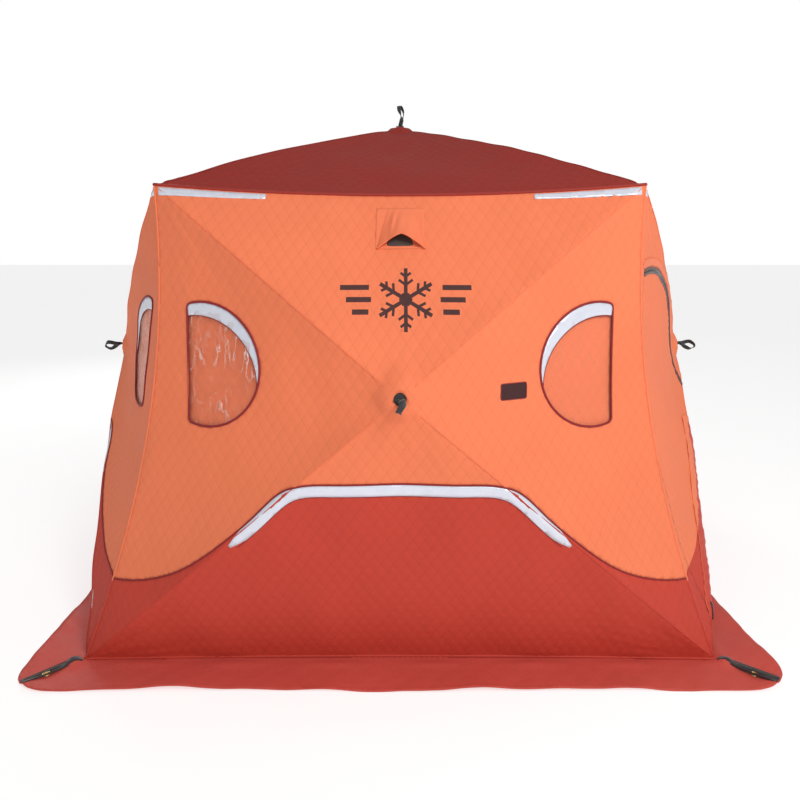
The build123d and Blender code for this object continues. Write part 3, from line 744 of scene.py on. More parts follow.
def triangulate(points, loops, lines=(), clear=0.004):
    """Triangles over the points that keep every loop's and line's edges."""
    verts, edges, guards = [], [], []
    for line, closed in [(loop, True) for loop in loops] + [(line, False) for line in lines]:
        first = len(verts)
        verts += [tuple(p) for p in line]
        last = len(verts) - 1
        edges += [(k, k + 1) for k in range(first, last)]
        guards.append(looped(line) if closed else np.asarray(line))
        if closed:
            edges.append((last, first))
    if len(points):
        distance, _ = nearest_finder(guards, 0.004)(points)
        verts += [tuple(p) for p in points[distance > clear]]
    result = delaunay_2d_cdt([Vector(p) for p in verts], edges, [], 0, 1e-6)
    flat = np.array([tuple(v) for v in result[0]])
    faces = np.array([f for f in result[2] if len(f) == 3])
    a, b, c = flat[faces[:, 0]], flat[faces[:, 1]], flat[faces[:, 2]]
    area = (b[:, 0] - a[:, 0]) * (c[:, 1] - a[:, 1]) - (b[:, 1] - a[:, 1]) * (c[:, 0] - a[:, 0])
    faces = np.where((area < 0)[:, None], faces[:, ::-1], faces)[np.abs(area) > 1e-10]
    return flat, faces


def centroids(flat, faces):
    return flat[faces].mean(1)


def compact(faces):
    """Faces renumbered to the points they use, and those points' old numbers."""
    used, renumbered = np.unique(faces, return_inverse=True)
    return used, renumbered.reshape(faces.shape)


def cut(points, loops, holes=(), clear=0.004):
    """Triangles that keep every loop's edges, inside the first and outside the holes, and their points."""
    flat, faces = triangulate(points, loops, clear=clear)
    middle = centroids(flat, faces)
    used, faces = compact(faces[inside(loops[0], middle) & ~within(holes, middle)])
    return flat[used], faces


def ring_faces(rings, size, closed=True):
    """Quads between rings of points in turn, and from the last to the first if closed."""
    faces = []
    for i in range(rings if closed else rings - 1):
        here, there = i * size, (i + 1) % rings * size
        for k in range(size):
            after = (k + 1) % size
            faces.append((here + k, here + after, there + after, there + k))
    return faces


def mesh_object(name, points, faces, materials, face_material=None, uv=None, smooth=True):
    mesh = bpy.data.meshes.new(name)
    mesh.from_pydata(np.asarray(points).tolist(), [], [tuple(f) for f in faces])
    for material in materials:
        mesh.materials.append(MATS[material])
    if face_material is not None:
        mesh.polygons.foreach_set("material_index", np.asarray(face_material, np.int32))
    mesh.polygons.foreach_set("use_smooth", np.full(len(mesh.polygons), smooth))
    if uv is not None:
        loops = np.empty(len(mesh.loops), np.int32)
        mesh.loops.foreach_get("vertex_index", loops)
        mesh.uv_layers.new(name="UVMap").data.foreach_set("uv", np.asarray(uv)[loops].ravel())
    mesh.validate()
    mesh.update()
    obj = bpy.data.objects.new(name, mesh)
    bpy.context.collection.objects.link(obj)
    return obj


def lathe(name, profile, segments, material):
    """A closed profile of (radius, height) turned about Z."""
    angles = np.linspace(0, 2 * math.pi, segments, endpoint=False)
    points = [(r * math.cos(a), r * math.sin(a), z) for a in angles for r, z in profile]
    return mesh_object(name, points, ring_faces(segments, len(profile)), [material])


def sheet_object(name, outer, inner, faces, materials, uv, marks=None, inner_material=0):
    """A sheet with an outer and an inner side and its cut edges. marks gives each outer face's material."""
    count = len(outer)
    pairs = np.concatenate([faces[:, [0, 1]], faces[:, [1, 2]], faces[:, [2, 0]]]).tolist()
    known = {tuple(pair) for pair in pairs}
    rim = [(a, b) for a, b in pairs if (b, a) not in known]
    all_faces = faces.tolist() + (faces[:, ::-1] + count).tolist()
    all_faces += [(b, a, a + count, b + count) for a, b in rim]
    outside = [0] * len(faces) if marks is None else list(marks)
    face_material = outside + [inner_material] * len(faces) + [0] * len(rim)
    both_sides = np.concatenate([outer, inner])
    return mesh_object(name, both_sides, all_faces, materials, face_material, np.concatenate([uv, uv]))


def follow_hub(obj, surface_name):
    """Works out each point's share of the hub's travel, in step with the poles, and a guide point on the
    hub's axis for it. It sets the guide points, bakes the piece's transform and puts the points back, so the
    piece keeps its shape.
    """
    surface = SURFACES[surface_name]
    start, end = surface.turned(np.array([surface.hub - surface.out, surface.hub]))
    points = np.empty(3 * len(obj.data.vertices), np.float32)
    obj.data.vertices.foreach_get("co", points)
    share = surface.share(points.reshape(-1, 3).astype(float))
    height = 0.5 - np.sin(np.arcsin(1 - 2 * share) / 3)
    guide = start + height[:, None] * (end - start)
    obj.data.vertices.foreach_set("co", guide.astype(np.float32).ravel())
    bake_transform(obj)
    obj.data.vertices.foreach_set("co", points)
    obj.data.update()
    return obj


def flatten_with_hub(obj, wall):
    """For a piece on a body of its own: works out a point on its hub's axis FLAT_LEVEL behind the wall's
    plane and the wall's outward axis, and gives the piece its own copy of its mesh; the piece is not
    flattened.
    """
    surface = SURFACES[wall]
    anchor = surface.turned((surface.hub - surface.out * (WALL_DEPTH + FLAT_LEVEL))[None, :])[0]
    axis = surface.turned(surface.out[None, :])[0]
    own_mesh(obj)


def ride_door(obj):
    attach(obj, "door")
    flatten_with_hub(obj, "right")


def settle(obj, slot, body, *replaced):
    """Hides the CAD nodes that a piece stands for and parents it to its body's empty, the door's pieces by
    way of ride_door; for a surface's name it runs follow_hub and stays unparented. slot is not used.
    """
    if replaced:
        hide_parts(*replaced)
    if body == "door":
        ride_door(obj)
    elif body in SURFACES:
        follow_hub(obj, body)
    else:
        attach(obj, body)
    return obj


# ---- walls and roof ----
def emblem_shapes():
    """A plain snowflake between stepped bars, printed over the front hub."""
    centre = np.array([0.020, 1.362])
    shapes = []

    def bar(start, end, width):
        start, end = np.array(start, float), np.array(end, float)
        along = (end - start) / np.linalg.norm(end - start)
        side = np.array([-along[1], along[0]]) * width / 2
        shapes.append(centre + np.array([start - side, end - side, end + side, start + side]))

    for k in range(6):
        angle = math.radians(30 + 60 * k)
        arm = np.array([math.cos(angle), math.sin(angle)])
        bar(arm * 0.014, arm * 0.104, 0.013)
        for at, size in ((0.048, 0.030), (0.076, 0.022)):
            for lean in (-55, 55):
                tip = math.radians(lean)
                turn = np.array([[math.cos(tip), -math.sin(tip)], [math.sin(tip), math.cos(tip)]])
                bar(arm * at, arm * at + (turn @ arm) * size, 0.009)
    shapes.append(centre + arc((0, 0), 0.024, 0, 2 * math.pi * 5 / 6, 6))
    for side in (-1, 1):
        for row, (near, far) in enumerate(((0.128, 0.228), (0.120, 0.206), (0.128, 0.184))):
            level = 0.040 - 0.040 * row
            bar((side * near, level), (side * far, level), 0.017)
    return shapes


def wall_layout(wall):
    """The loops and lines that the cloth of one wall has to keep."""
    surface = SURFACES[wall]
    hub = arc(surface.hub[list(surface.plane)], HUB_OPENING, 0, 2 * math.pi, 33)[:-1]
    loops = [surface.outline, hub]
    lines = list(surface.ridges)
    if wall == "roof":
        return loops, lines, hub
    lines.append(ARCH_LINE[np.abs(ARCH_LINE[:, 0]) < 1.25])
    if wall in WINDOW_WALLS:
        loops += [window_outline(side) for side in (-1, 1)]
    if wall == "right":
        loops.append(door_outline())
    return loops, lines, hub


def build_wall(wall):
    """The cloth of one wall or of the roof, and the right wall's door."""
    surface = SURFACES[wall]
    loops, lines, hub = wall_layout(wall)
    prints = emblem_shapes() if wall == "front" else []
    low, high = surface.outline.min(0), surface.outline.max(0)
    points = lattice(low, high, DIAMOND_WIDE, DIAMOND_TALL, DIAMOND_PARTS)
    flat, faces = triangulate(points, loops + prints, lines)
    middle = centroids(flat, faces)
    windows = [window_outline(side) for side in (-1, 1)] if wall in WINDOW_WALLS else []
    cloth = inside(surface.outline, middle) & ~within([hub, *windows], middle)
    below = under_arch(middle) & (wall != "roof")
    door = within([door_outline()] if wall == "right" else [], middle)

    distance, _ = nearest_finder([looped(loop) for loop in loops] + lines, 0.006)(flat)
    smooth = surface.turned(surface.smooth(flat))
    outer = surface.place(flat, puff(flat, distance))
    inner = outer - surface.turned(surface.out[None, :])[0] * CLOTH_THICK
    uv = quilt(flat)

    def piece(name, slot, body, replaced, mask, colours, second):
        used, renumbered = compact(faces[mask])
        marks = np.where(second[mask], 2, 0)
        obj = sheet_object(name, outer[used], inner[used], renumbered, colours, uv[used], marks, 1)
        settle(obj, slot, body, replaced)

    printed = within(prints, middle)
    if wall == "roof":
        colours = ["roof_red", "lining", "print"]
        piece("roof_cloth", "roof_cloth", wall, "roof_panel", cloth, colours, printed)
        return
    upper, lower = cloth & ~below & ~door, cloth & below & ~door
    colours = ["orange", "lining", "print"]
    piece(f"cloth_{wall}_upper", "wall_cloth", wall, f"wall_{wall}_upper", upper, colours, printed)
    colours = ["low_red", "lining", "print"]
    piece(f"cloth_{wall}_lower", "lower_cloth", wall, "wall_lower_panels", lower, colours, printed)
    if wall == "right":
        colours = ["orange", "lining", "low_red"]
        piece("door_cloth", "wall_cloth", "door", "door_panel", cloth & door, colours, below)


for wall_name in SURFACES:
    build_wall(wall_name)


# ---- patches and strips sewn on a surface ----
def patch(name, wall, outline, materials, slot, proud, thick, step, *replaced,
          body=None, lift=None, marks=None, metric=False):
    """A sewn piece that lies on the creased cloth, with its own thickness. Its UV is in metres if metric."""
    surface = SURFACES[wall]
    low, high = outline.min(0), outline.max(0)
    points = lattice(low, high, 1.4 * step, 1.4 * step, 1)
    flat, faces = cut(points, [outline], clear=0.4 * step)
    extra = lift(flat) if lift else 0.0
    inner = surface.place(flat, proud + extra)
    outer = surface.place(flat, max(proud + thick, PATCH_PROUD) + extra)
    face_marks = marks(centroids(flat, faces)) if marks else None
    uv = flat if metric else quilt(flat)
    obj = sheet_object(name, outer, inner, faces, materials, uv, face_marks)
    settle(obj, slot, body or wall, *replaced)
    return obj, surface.turned(surface.smooth(flat)), faces


def band_outline(line, half_width, taper=0.0):
    """A strip's outline along a drawn line, with ends that may taper."""
    line = np.asarray(line, float)
    travelled = travel(line)
    width = np.full(len(line), half_width)
    if taper:
        from_end = np.minimum(travelled, travelled[-1] - travelled)
        width = width * np.clip(0.15 + 0.85 * from_end / taper, 0, 1) ** 0.7
    across = right_of(line) * width[:, None]
    return np.concatenate([line + across, (line - across)[::-1]])


def tube(name, path, radius, materials, slot, body, *replaced, segments=8, low=None, closed=False):
    """A round piping along a path in the row frame. Where low holds, it takes the second material."""
    path = np.asarray(path, float)
    along = unit(np.roll(path, -1, 0) - np.roll(path, 1, 0) if closed else np.gradient(path, axis=0))
    side = np.cross(along, [0, 0, 1.0])
    weak = np.linalg.norm(side, axis=1) < 0.05
    side[weak] = np.cross(along[weak], [1.0, 0, 0])
    side = unit(side)
    other = np.cross(along, side)
    angles = np.linspace(0, 2 * math.pi, segments, endpoint=False)
    cos, sin = np.cos(angles)[None, :, None], np.sin(angles)[None, :, None]
    ring = side[:, None, :] * cos + other[:, None, :] * sin
    points = (path[:, None, :] + ring * radius).reshape(-1, 3)
    points[:, 2] = np.maximum(points[:, 2], 0)  # none goes under the ground
    faces = [(a, d, c, b) for a, b, c, d in ring_faces(len(path), segments, closed)]
    if not closed:
        last = len(points) - segments
        faces += [tuple(range(segments)), tuple(range(last, len(points)))[::-1]]
    face_marks = None
    if low is not None:
        face_marks = [int(low[min(face) // segments]) for face in faces]
    return settle(mesh_object(name, points, faces, materials, face_marks), slot, body, *replaced)


# ---- windows ----
def film_wrinkles(wall, side, outline):
    """The window film's folds, which fade out at its frame, as a height over drawing points."""
    centre = np.array([side * WINDOW_X, WINDOW_Z])
    rng = np.random.default_rng(70 + WALLS[wall] + side)
    folds = [(rng.uniform(0, math.pi), rng.uniform(0.03, 0.11), rng.uniform(0, 6.3)) for _ in range(9)]
    border = nearest_finder([looped(outline)], 0.006)
    slack = 1.0 if side < 0 else 0.55

    def wrinkles(flat):
        distance, _ = border(flat)
        fade = np.clip(distance / 0.035, 0, 1)
        height = np.zeros(len(flat))
        for angle, size, phase in folds:
            where = (flat - centre) @ np.array([math.cos(angle), math.sin(angle)])
            beside = (flat - centre) @ np.array([-math.sin(angle), math.cos(angle)])
            bend = 0.3 * np.sin(beside * 30 + phase)
            ridge = 1 - np.abs(np.sin(where * math.pi / size + phase + bend))
            height += 0.020 * size * ridge ** 2
        return -0.0022 + slack * fade * height - 0.001

    return wrinkles


def crescent_inner():
    """The right crescent's lower edge, cut by a second circle, from the straight side to the arc."""
    full = arc((CRESCENT_X, CRESCENT_Z), CRESCENT_R, 0, math.pi, 400)
    return full[inside(window_outline(1, -0.0015), full)]


def crescent_part(side):
    """The crescent's outline: the window's top, and back along the second circle."""
    outline = window_outline(1, -0.0015)
    centre = np.array([CRESCENT_X, CRESCENT_Z])
    outside = np.linalg.norm(outline - centre, axis=1) > CRESCENT_R
    outside &= outline[:, 1] > CRESCENT_Z
    first = int(np.argmax(outside & ~np.roll(outside, 1)))
    order = np.roll(np.arange(len(outline)), -first)
    upper = outline[order][outside[order]]
    inner = crescent_inner()
    if np.linalg.norm(inner[0] - upper[-1]) > np.linalg.norm(inner[-1] - upper[-1]):
        inner = inner[::-1]
    return mirrored(np.concatenate([upper, inner[1:-1][::4]]), side)


def build_window(wall, label, side):
    """The clear pane, its piping and its reflective crescent."""
    surface = SURFACES[wall]
    outline = window_outline(side)
    tag = f"{wall}_{label}"
    # the front wall's left pane takes the film with strong painted glints
    film = "vinyl_creased_glinting" if wall == "front" and side < 0 else "vinyl"
    pane, points, faces = patch(
        f"pane_{tag}", wall, grown(outline, 0.003), [film], "vinyl", 0.0, 0.0006, 0.007,
        "window_panes", lift=film_wrinkles(wall, side, outline))
    patch(f"crescent_{tag}", wall, crescent_part(side), ["reflective"], "reflective", 0.0003, 0.0014, 0.012,
          "window_reflectors")
    path, _ = resample(looped(outline), 0.008)
    tube(f"piping_{tag}", surface.place(path[:-1], 0.0016), 0.0042, ["red_piping"], "piping", wall,
         "window_bindings", closed=True)
    path, _ = resample(crescent_inner() * [side, 1], 0.008)
    placed = surface.place(path, 0.0016)
    tube(f"crescent_edge_{tag}", placed, 0.0020, ["red_piping"], "piping", wall, segments=6)


def build_cover(wall, label, side):
    """The quilted cover that closes a window from inside."""
    surface = SURFACES[wall]
    node = f"window_cover_{wall}_{label}"
    outline = window_outline(side, COVER_GROW)
    points = lattice(outline.min(0), outline.max(0), DIAMOND_WIDE, DIAMOND_TALL, DIAMOND_PARTS)
    flat, faces = cut(points, [outline])
    distance, _ = nearest_finder([looped(outline)], 0.006)(flat)
    sag = 0.0020 * np.sin(flat[:, 1] * 23 + side) * np.sin(flat[:, 0] * 17) * np.clip(distance / 0.05, 0, 1)
    outer = surface.place(flat, -COVER_IN + puff(flat, distance) + sag)
    inner = surface.place(flat, -COVER_IN - 0.0026 - 0.5 * puff(flat, distance) + sag)
    uv = quilt(flat)
    name = f"cover_{wall}_{label}"
    cover = sheet_object(name, outer, inner, faces, ["cover", "lining"], uv, inner_material=1)
    settle(cover, "wall_cloth", node, node)
    surface.turned(surface.smooth(flat))
    path, _ = resample(looped(grown(outline, -0.004)), 0.009)
    placed = surface.place(path[:-1], -COVER_IN - 0.0012)
    hem = tube(f"cover_hem_{wall}_{label}", placed, 0.0028, ["orange_plain"], "wall_cloth", node,
               segments=6, closed=True)
    for piece in (cover, hem):
        flatten_with_hub(piece, wall)


for wall_name in WINDOW_WALLS:
    for label, side in (("a", -1), ("b", 1)):
        build_window(wall_name, label, side)
        build_cover(wall_name, label, side)


# ---- tapes ----
def build_arch_tape(wall):
    """The reflective tape under the arched seam, and the piping on both its sides."""
    line = arch_curve(0.004 + ARCH_TAPE / 2)
    line, _ = resample(line[np.abs(line[:, 0]) < ARCH_TAPE_X], 0.012)
    patch(f"arch_tape_{wall}", wall, band_outline(line, ARCH_TAPE / 2, 0.07), ["reflective"], "reflective",
          0.0004, 0.0018, 0.014, "arch_reflectors")
    for name, drop, radius in (("upper", 0.001, 0.0030), ("lower", 0.004 + ARCH_TAPE, 0.0018)):
        edge = arch_curve(drop)
        reach = ARCH_TAPE_X + 0.006 if name == "lower" else 1.30
        edge = edge[np.abs(edge[:, 0]) < reach]
        edge = edge[inside(SURFACES[wall].outline, edge)]
        edge, _ = resample(edge, 0.012)
        if name == "lower":
            edge = edge[4:-4]
        placed = SURFACES[wall].place(edge, 0.0014)
        tube(f"arch_piping_{name}_{wall}", placed, radius, ["red_piping"], "piping", wall, segments=6)


def eave_height(x):
    """The height of the wall's upper edge over x."""
    share = np.clip(np.abs(x) / ROOF_HALF, 0, 1)
    return EAVE_Z - EAVE_BOW * (1 - share**2)


def build_eave_tape(wall, label, side):
    """The short reflective tape under one end of a wall's eave."""
    x = np.linspace(*EAVE_TAPE_X, 24)
    width = np.interp(x, EAVE_TAPE_X, EAVE_TAPE_WIDTH)
    top = eave_height(x) - 0.007
    both = np.concatenate([np.stack([x, top - width], 1), np.stack([x, top], 1)[::-1]])
    patch(f"eave_tape_{wall}_{label}", wall, mirrored(both, side), ["reflective"], "reflective",
          0.0006, 0.0020, 0.010, "eave_reflectors")


for wall_name in WINDOW_WALLS:
    build_arch_tape(wall_name)
for wall_name in WALLS:
    for label, side in (("a", -1), ("b", 1)):
        build_eave_tape(wall_name, label, side)


# ---- seams ----
TWO_SEAMS = ["orange_plain", "red_seam"]  # over and under the arched seam


def seam_colours(middle):
    """Which of TWO_SEAMS each face takes, by its middle."""
    return under_arch(middle).astype(int)


def build_edge_seams(wall):
    """The piping along a wall's right upright, its eave and its foot."""
    surface = SURFACES[wall]
    edges = wall_edges(0.0)
    upright = surface.turned(Surface.rim(edges[2], np.linspace(0, 1, 120)))
    low = upright[:, 2] < 0.292
    tube(f"corner_seam_{wall}", upright, 0.0036, TWO_SEAMS, "wall_cloth", "shelter", low=low)
    eave = surface.turned(Surface.rim(edges[1], np.linspace(0, 1, 110)) + np.array([0, 0, 0.001]))
    tube(f"eave_seam_{wall}", eave, 0.0062, ["roof_seam"], "roof_cloth", "shelter")
    foot = surface.turned(Surface.rim(edges[3], np.linspace(0, 1, 110)) + np.array([0, 0, 0.006]))
    tube(f"base_seam_{wall}", foot, 0.0055, ["red_seam"], "lower_cloth", "shelter")


def runs(mask):
    """The index ranges where a mask holds, of three points or more."""
    edges = np.flatnonzero(np.diff(np.concatenate([[0], mask.astype(int), [0]])))
    return [np.arange(a, b) for a, b in zip(edges[::2], edges[1::2]) if b - a > 2]


def build_pole_seam(name, number):
    """The seam over one pole, which changes colour at the arch and is cut at the door."""
    surface = SURFACES[name]
    path, _ = resample(surface.ridges[number][1:-1], 0.016)
    placed = surface.place(path, 0.0003)
    tag = f"pole_seam_{name}_{number}"
    if name == "roof":
        tube(tag, placed, 0.0018, ["roof_seam"], "roof_cloth", name, segments=6)
        return
    on_door = within([door_outline()] if name == "right" else [], path)
    low = under_arch(path)
    for ending, body, mask in (("", name, ~on_door), ("_door", "door", on_door)):
        for part, run in enumerate(runs(mask)):
            tube(f"{tag}{ending}_{part}", placed[run], 0.0016, TWO_SEAMS, "wall_cloth", body,
                 segments=6, low=low[run])


for wall_name in WALLS:
    build_edge_seams(wall_name)
for surface_name in SURFACES:
    for number in range(4):
        build_pole_seam(surface_name, number)


# ---- vents ----
def hood_grid(columns, rows):
    """The vent hood's drawing points, row by row from its sewn top, and how far out each stands."""
    a, b = np.meshgrid(np.linspace(-1, 1, columns), np.linspace(0, 1, rows))
    a, b = a.ravel(), b.ravel()
    peak = (1 - np.abs(a) ** 1.5) * b**1.15
    width = 0.046 + 0.042 * b**0.9
    x = a * width + 0.004
    z = VENT_Z + 0.072 - b * (0.146 - 0.048 * (1 - np.abs(a) ** 1.3))
    out = 0.004 + 0.046 * peak
    out += 0.010 * np.exp(-(((x + 0.018 + 0.02 * b) / 0.008) ** 2)) * b * (1 - b) * 3
    out += 0.003 * np.sin(a * 11 + 5 * b) * b * (1 - a**2)
    return np.stack([x, z], 1), out


def build_vent(wall):
    """A sewn patch with a mesh, and the hood over it."""
    surface = SURFACES[wall]
    low, high = VENT_Z - VENT_HALF_TALL, VENT_Z + VENT_HALF_TALL
    wide = VENT_HALF_WIDE
    corners = [(-wide, low), (wide, low), (wide, high), (-wide, high)]
    patch(f"vent_patch_{wall}", wall, rounded(corners, 0.006), ["orange_plain"], "patch",
          0.0004, 0.0016, 0.010, "vent_patches")
    low, high = VENT_Z - 0.064, VENT_Z - 0.018
    opening = [(-0.052, low), (0.052, low), (0.030, high), (-0.030, high)]
    grille, points, faces = patch(
        f"vent_mesh_{wall}", wall, rounded(opening, 0.010), ["mesh"], "mesh", 0.0021, 0.0008, 0.006,
        "vent_meshes")
    columns, rows = 41, 25
    flat, out = hood_grid(columns, rows)
    outer, inner = surface.place(flat, out), surface.place(flat, out - 0.0016)
    cells = np.arange(columns * rows).reshape(rows, columns)
    quads = np.stack([cells[1:, :-1], cells[1:, 1:], cells[:-1, 1:], cells[:-1, :-1]], -1).reshape(-1, 4)
    faces = np.concatenate([quads[:, [0, 1, 2]], quads[:, [0, 2, 3]]])
    hood = sheet_object(f"vent_hood_{wall}", outer, inner, faces, ["orange_plain"], flat)
    settle(hood, "wall_cloth", wall, "vent_hoods")
    tube(f"vent_lip_{wall}", outer[cells[-1]], 0.0026, ["orange_plain"], "wall_cloth", wall)


for wall_name in VENT_WALLS:
    build_vent(wall_name)


# ---- the small plain patch beside the front hub ----
def build_side_patch():
    outline = rounded(SIDE_PATCH, 0.005)
    patch("side_patch", "front", outline, ["patch"], "patch", 0.0004, 0.0018, 0.008, "label_patch")
    path, _ = resample(looped(outline), 0.006)
    placed = SURFACES["front"].place(path[:-1], PUFF)
    tube("side_patch_edge", placed, 0.0018, ["patch_edge"], "patch", "front", segments=6, closed=True)


build_side_patch()


# ---- door ----
def zip_line(outline):
    """The part of the door's outline with the zip: from the foot round the top to the hinge."""
    stop = int(np.argmin(np.linalg.norm(outline - np.array(DOOR_HINGE[1]), axis=1)))
    return outline[: stop + 1]


def build_teeth(surface, line):
    """Small blocks that stand across the zip, on either side of it in turn."""
    fine, _ = resample(line, 0.0042)
    placed = surface.place(fine, 0.0034)
    ahead = unit(np.gradient(placed, axis=0))
    out = surface.turned(surface.out[None, :])[0]
    across = np.cross(ahead, out)
    cube = [(0, 3, 2, 1), (4, 5, 6, 7), (0, 1, 5, 4), (1, 2, 6, 5), (2, 3, 7, 6), (3, 0, 4, 7)]
    points, faces = [], []
    for k, (at, along, wide) in enumerate(zip(placed, ahead, across)):
        shift = 0.0012 * (1 if k % 2 else -1)
        first = len(points)
        for lift in (-0.0014, 0.0012):
            for da, dw in ((-1, -1), (1, -1), (1, 1), (-1, 1)):
                points.append(at + along * 0.0012 * da + wide * (0.0030 * dw + shift) + out * lift)
        faces += [tuple(first + i for i in face) for face in cube]
    teeth = mesh_object("zip_teeth", points, faces, ["zip_teeth"], smooth=False)
    settle(teeth, "zip", "right")


def build_zip():
    """The zip's tape and teeth, and a storm flap sewn outside the zip, folded back along it."""
    outline = door_outline()
    line = zip_line(outline)
    run, _ = resample(line, 0.010)
    patch("zip_tape", "right", band_outline(run, 0.014), ["zip_tape"], "zip", 0.0006, 0.0012, 0.008,
          "door_zip_tape", metric=True)
    build_teeth(SURFACES["right"], line)
    flap_line, _ = resample(grown(outline, 0.034)[: len(line)], 0.012)
    patch("storm_flap", "right", band_outline(flap_line, 0.016, 0.03), TWO_SEAMS, "wall_cloth",
          0.0010, 0.0030, 0.012, marks=seam_colours)


def puckers(flat):
    """How far the corner flap's gathers stand up."""
    along = flat[:, 1] * 190 + 3 * np.sin(flat[:, 1] * 23)
    return 0.0012 * (1 + np.sin(along)) + 0.0008 * np.sin(flat[:, 1] * 61)


def build_corner_flap():
    """The puckered flap on the door, beside the lower front pole, and its black tab near the ground."""
    line, _ = resample(np.array(CORNER_FLAP), 0.012)
    patch("corner_flap", "right", band_outline(line, 0.042, 0.03), TWO_SEAMS, "wall_cloth",
          0.0010, 0.0026, 0.008, body="door", lift=puckers, marks=seam_colours)
    tab, _ = resample(np.array(CORNER_TAB), 0.008)
    patch("corner_tab", "right", band_outline(tab, 0.011), ["webbing"], "webbing", 0.0062, 0.0030, 0.006,
          body="door", metric=True)


build_zip()
build_corner_flap()


# ---- snow skirt ----
def skirt_height(flat):
    """The laid skirt's waves: flat at the walls and under the grommets, rising towards its hem."""
    x, y = flat[:, 0], flat[:, 1]
    reach = np.maximum(np.abs(x), np.abs(y)) - BASE_HALF
    share = np.clip(reach / 0.2, 0, 1)
    side = np.where(np.abs(x) > np.abs(y), y * np.sign(x), x * -np.sign(y))
    turn = np.where(np.abs(x) > np.abs(y), 1.7 * np.sign(x), 0.6 * np.sign(y))
    waves = np.sin(side * 5.1 + turn) + 0.7 * np.sin(side * 11.7 + 2.3 * turn)
    waves = waves + 0.45 * np.sin(side * 23.0 + turn + 9 * reach)
    lift = 0.0055 * share**1.4 * (1.6 + waves)
    lift += 0.0030 * np.exp(-((reach - 0.035) / 0.020) ** 2) * (1 + np.sin(side * 17 + turn))
    diagonal = np.abs(np.abs(x) - np.abs(y))
    lift += 0.014 * np.exp(-((diagonal - 0.035) / 0.020) ** 2) * np.clip(share * (1.4 - share), 0, 1)
    lift += 0.0016 * np.sin(x * 61 + 2 * np.sin(y * 13)) * np.sin(y * 47) * share
    root = np.hypot(np.abs(x) - BASE_HALF - 0.028, np.abs(y) - BASE_HALF - 0.028)
    lift += 0.018 * np.exp(-((root / 0.030) ** 2))
    grommet = np.hypot(np.abs(x) - GROMMET_AT, np.abs(y) - GROMMET_AT)
    return 0.0016 + lift * np.clip((grommet - 0.02) / 0.05, 0, 1)


def skirt_edge():
    """The skirt's hem line: a rounded square that wanders a little."""
    middle = SKIRT_HALF - SKIRT_ROUND
    corners = ((1, 1, 0), (-1, 1, math.pi / 2), (-1, -1, math.pi), (1, -1, -math.pi / 2))
    arcs = [
        arc((x * middle, y * middle), SKIRT_ROUND, turn, turn + math.pi / 2, 13) for x, y, turn in corners
    ]
    edge, _ = resample(looped(np.concatenate(arcs)), 0.014)
    edge = edge[:-1]
    wobble = 0.004 * np.sin(edge[:, 0] * 4.3 + edge[:, 1] * 5.9)
    return edge * (1 - (0.004 + wobble)[:, None] / SKIRT_HALF)


def skirt_root():
    """The line where the skirt is sewn to the four walls' feet."""
    rim = Surface.rim(wall_edges(0.0)[3], np.linspace(1, 0, 121))[:-1, :2]
    rims = []
    for turn in range(4):
        angle = math.radians(90 * turn)
        spin = np.array([[math.cos(angle), math.sin(angle)], [-math.sin(angle), math.cos(angle)]])
        rims.append(rim @ spin)
    return np.concatenate(rims)


def grommet_hole(x, y):
    """The outline of the hole in the cloth round a grommet at x, y."""
    return arc((x, y), GROMMET_HOLE, 0, 2 * math.pi, 25)[:-1]


def build_skirt():
    """The snow skirt, with a stitched hem of double cloth and a hole at each corner's grommet."""
    outer, inner = skirt_edge(), skirt_root()
    points = lattice((-SKIRT_HALF, -SKIRT_HALF), (SKIRT_HALF, SKIRT_HALF), 0.021, 0.021, 1)
    points = points[np.maximum(np.abs(points[:, 0]), np.abs(points[:, 1])) > BASE_HALF - 0.03]
    holes = [grommet_hole(x * GROMMET_AT, y * GROMMET_AT) for x in (-1, 1) for y in (-1, 1)]
    hem = grown(outer, -0.018)
    flat, faces = cut(points, [outer, inner, hem, *holes], [inner, *holes], clear=0.006)
    height = skirt_height(flat)
    hem_gap, _ = nearest_finder([looped(hem)], 0.008)(flat)
    edge_gap, _ = nearest_finder([looped(outer)], 0.008)(flat)
    stitched = np.exp(-(hem_gap / 0.004) ** 2) * 0.0012
    doubled = np.where(edge_gap < 0.017, 0.0012, 0.0)
    top = np.column_stack([flat, height + 0.0014 + doubled - stitched])
    under = np.column_stack([flat, np.maximum(height - 0.0006, 0.0002)])
    skirt = sheet_object("skirt", top, under, faces, ["skirt"], flat)
    settle(skirt, "skirt_cloth", "shelter", "snow_skirt")


def build_strap(number, sx, sy):
    """Webbing across one skirt corner, with a brass grommet through it."""
    centre = np.array([sx, sy]) * STRAP_AT
    along = np.array([sx, sy]) / math.sqrt(2)
    side = np.array([-along[1], along[0]])
    length, half = STRAP_LENGTH / 2, STRAP_WIDTH / 2
    outline = rounded([(-length, -half), (length, -half), (length, half), (-length, half)], 0.006)
    points = lattice((-length, -half), (length, half), 0.011, 0.011, 1)
    hole = grommet_hole((GROMMET_AT - STRAP_AT) * math.sqrt(2), 0)
    flat, faces = cut(points, [outline, hole], [hole])
    ground = centre + flat[:, :1] * along + flat[:, 1:] * side
    height = skirt_height(ground)
    top = np.column_stack([ground, height + 0.0042])
    under = np.column_stack([ground, height + 0.0018])
    strap = sheet_object(f"corner_strap_{number}", top, under, faces, ["webbing"], flat)
    settle(strap, "webbing", "shelter", "skirt_corner_straps")
    ring = lathe(f"grommet_{number}", GROMMET_PROFILE, 40, "brass")
    ring.location = (sx * GROMMET_AT, sy * GROMMET_AT, 0)
    settle(ring, "brass", "shelter", "skirt_grommets")


build_skirt()
for number, (sx, sy) in enumerate(((-1, -1), (1, -1), (1, 1), (-1, 1))):
    build_strap(number, sx, sy)


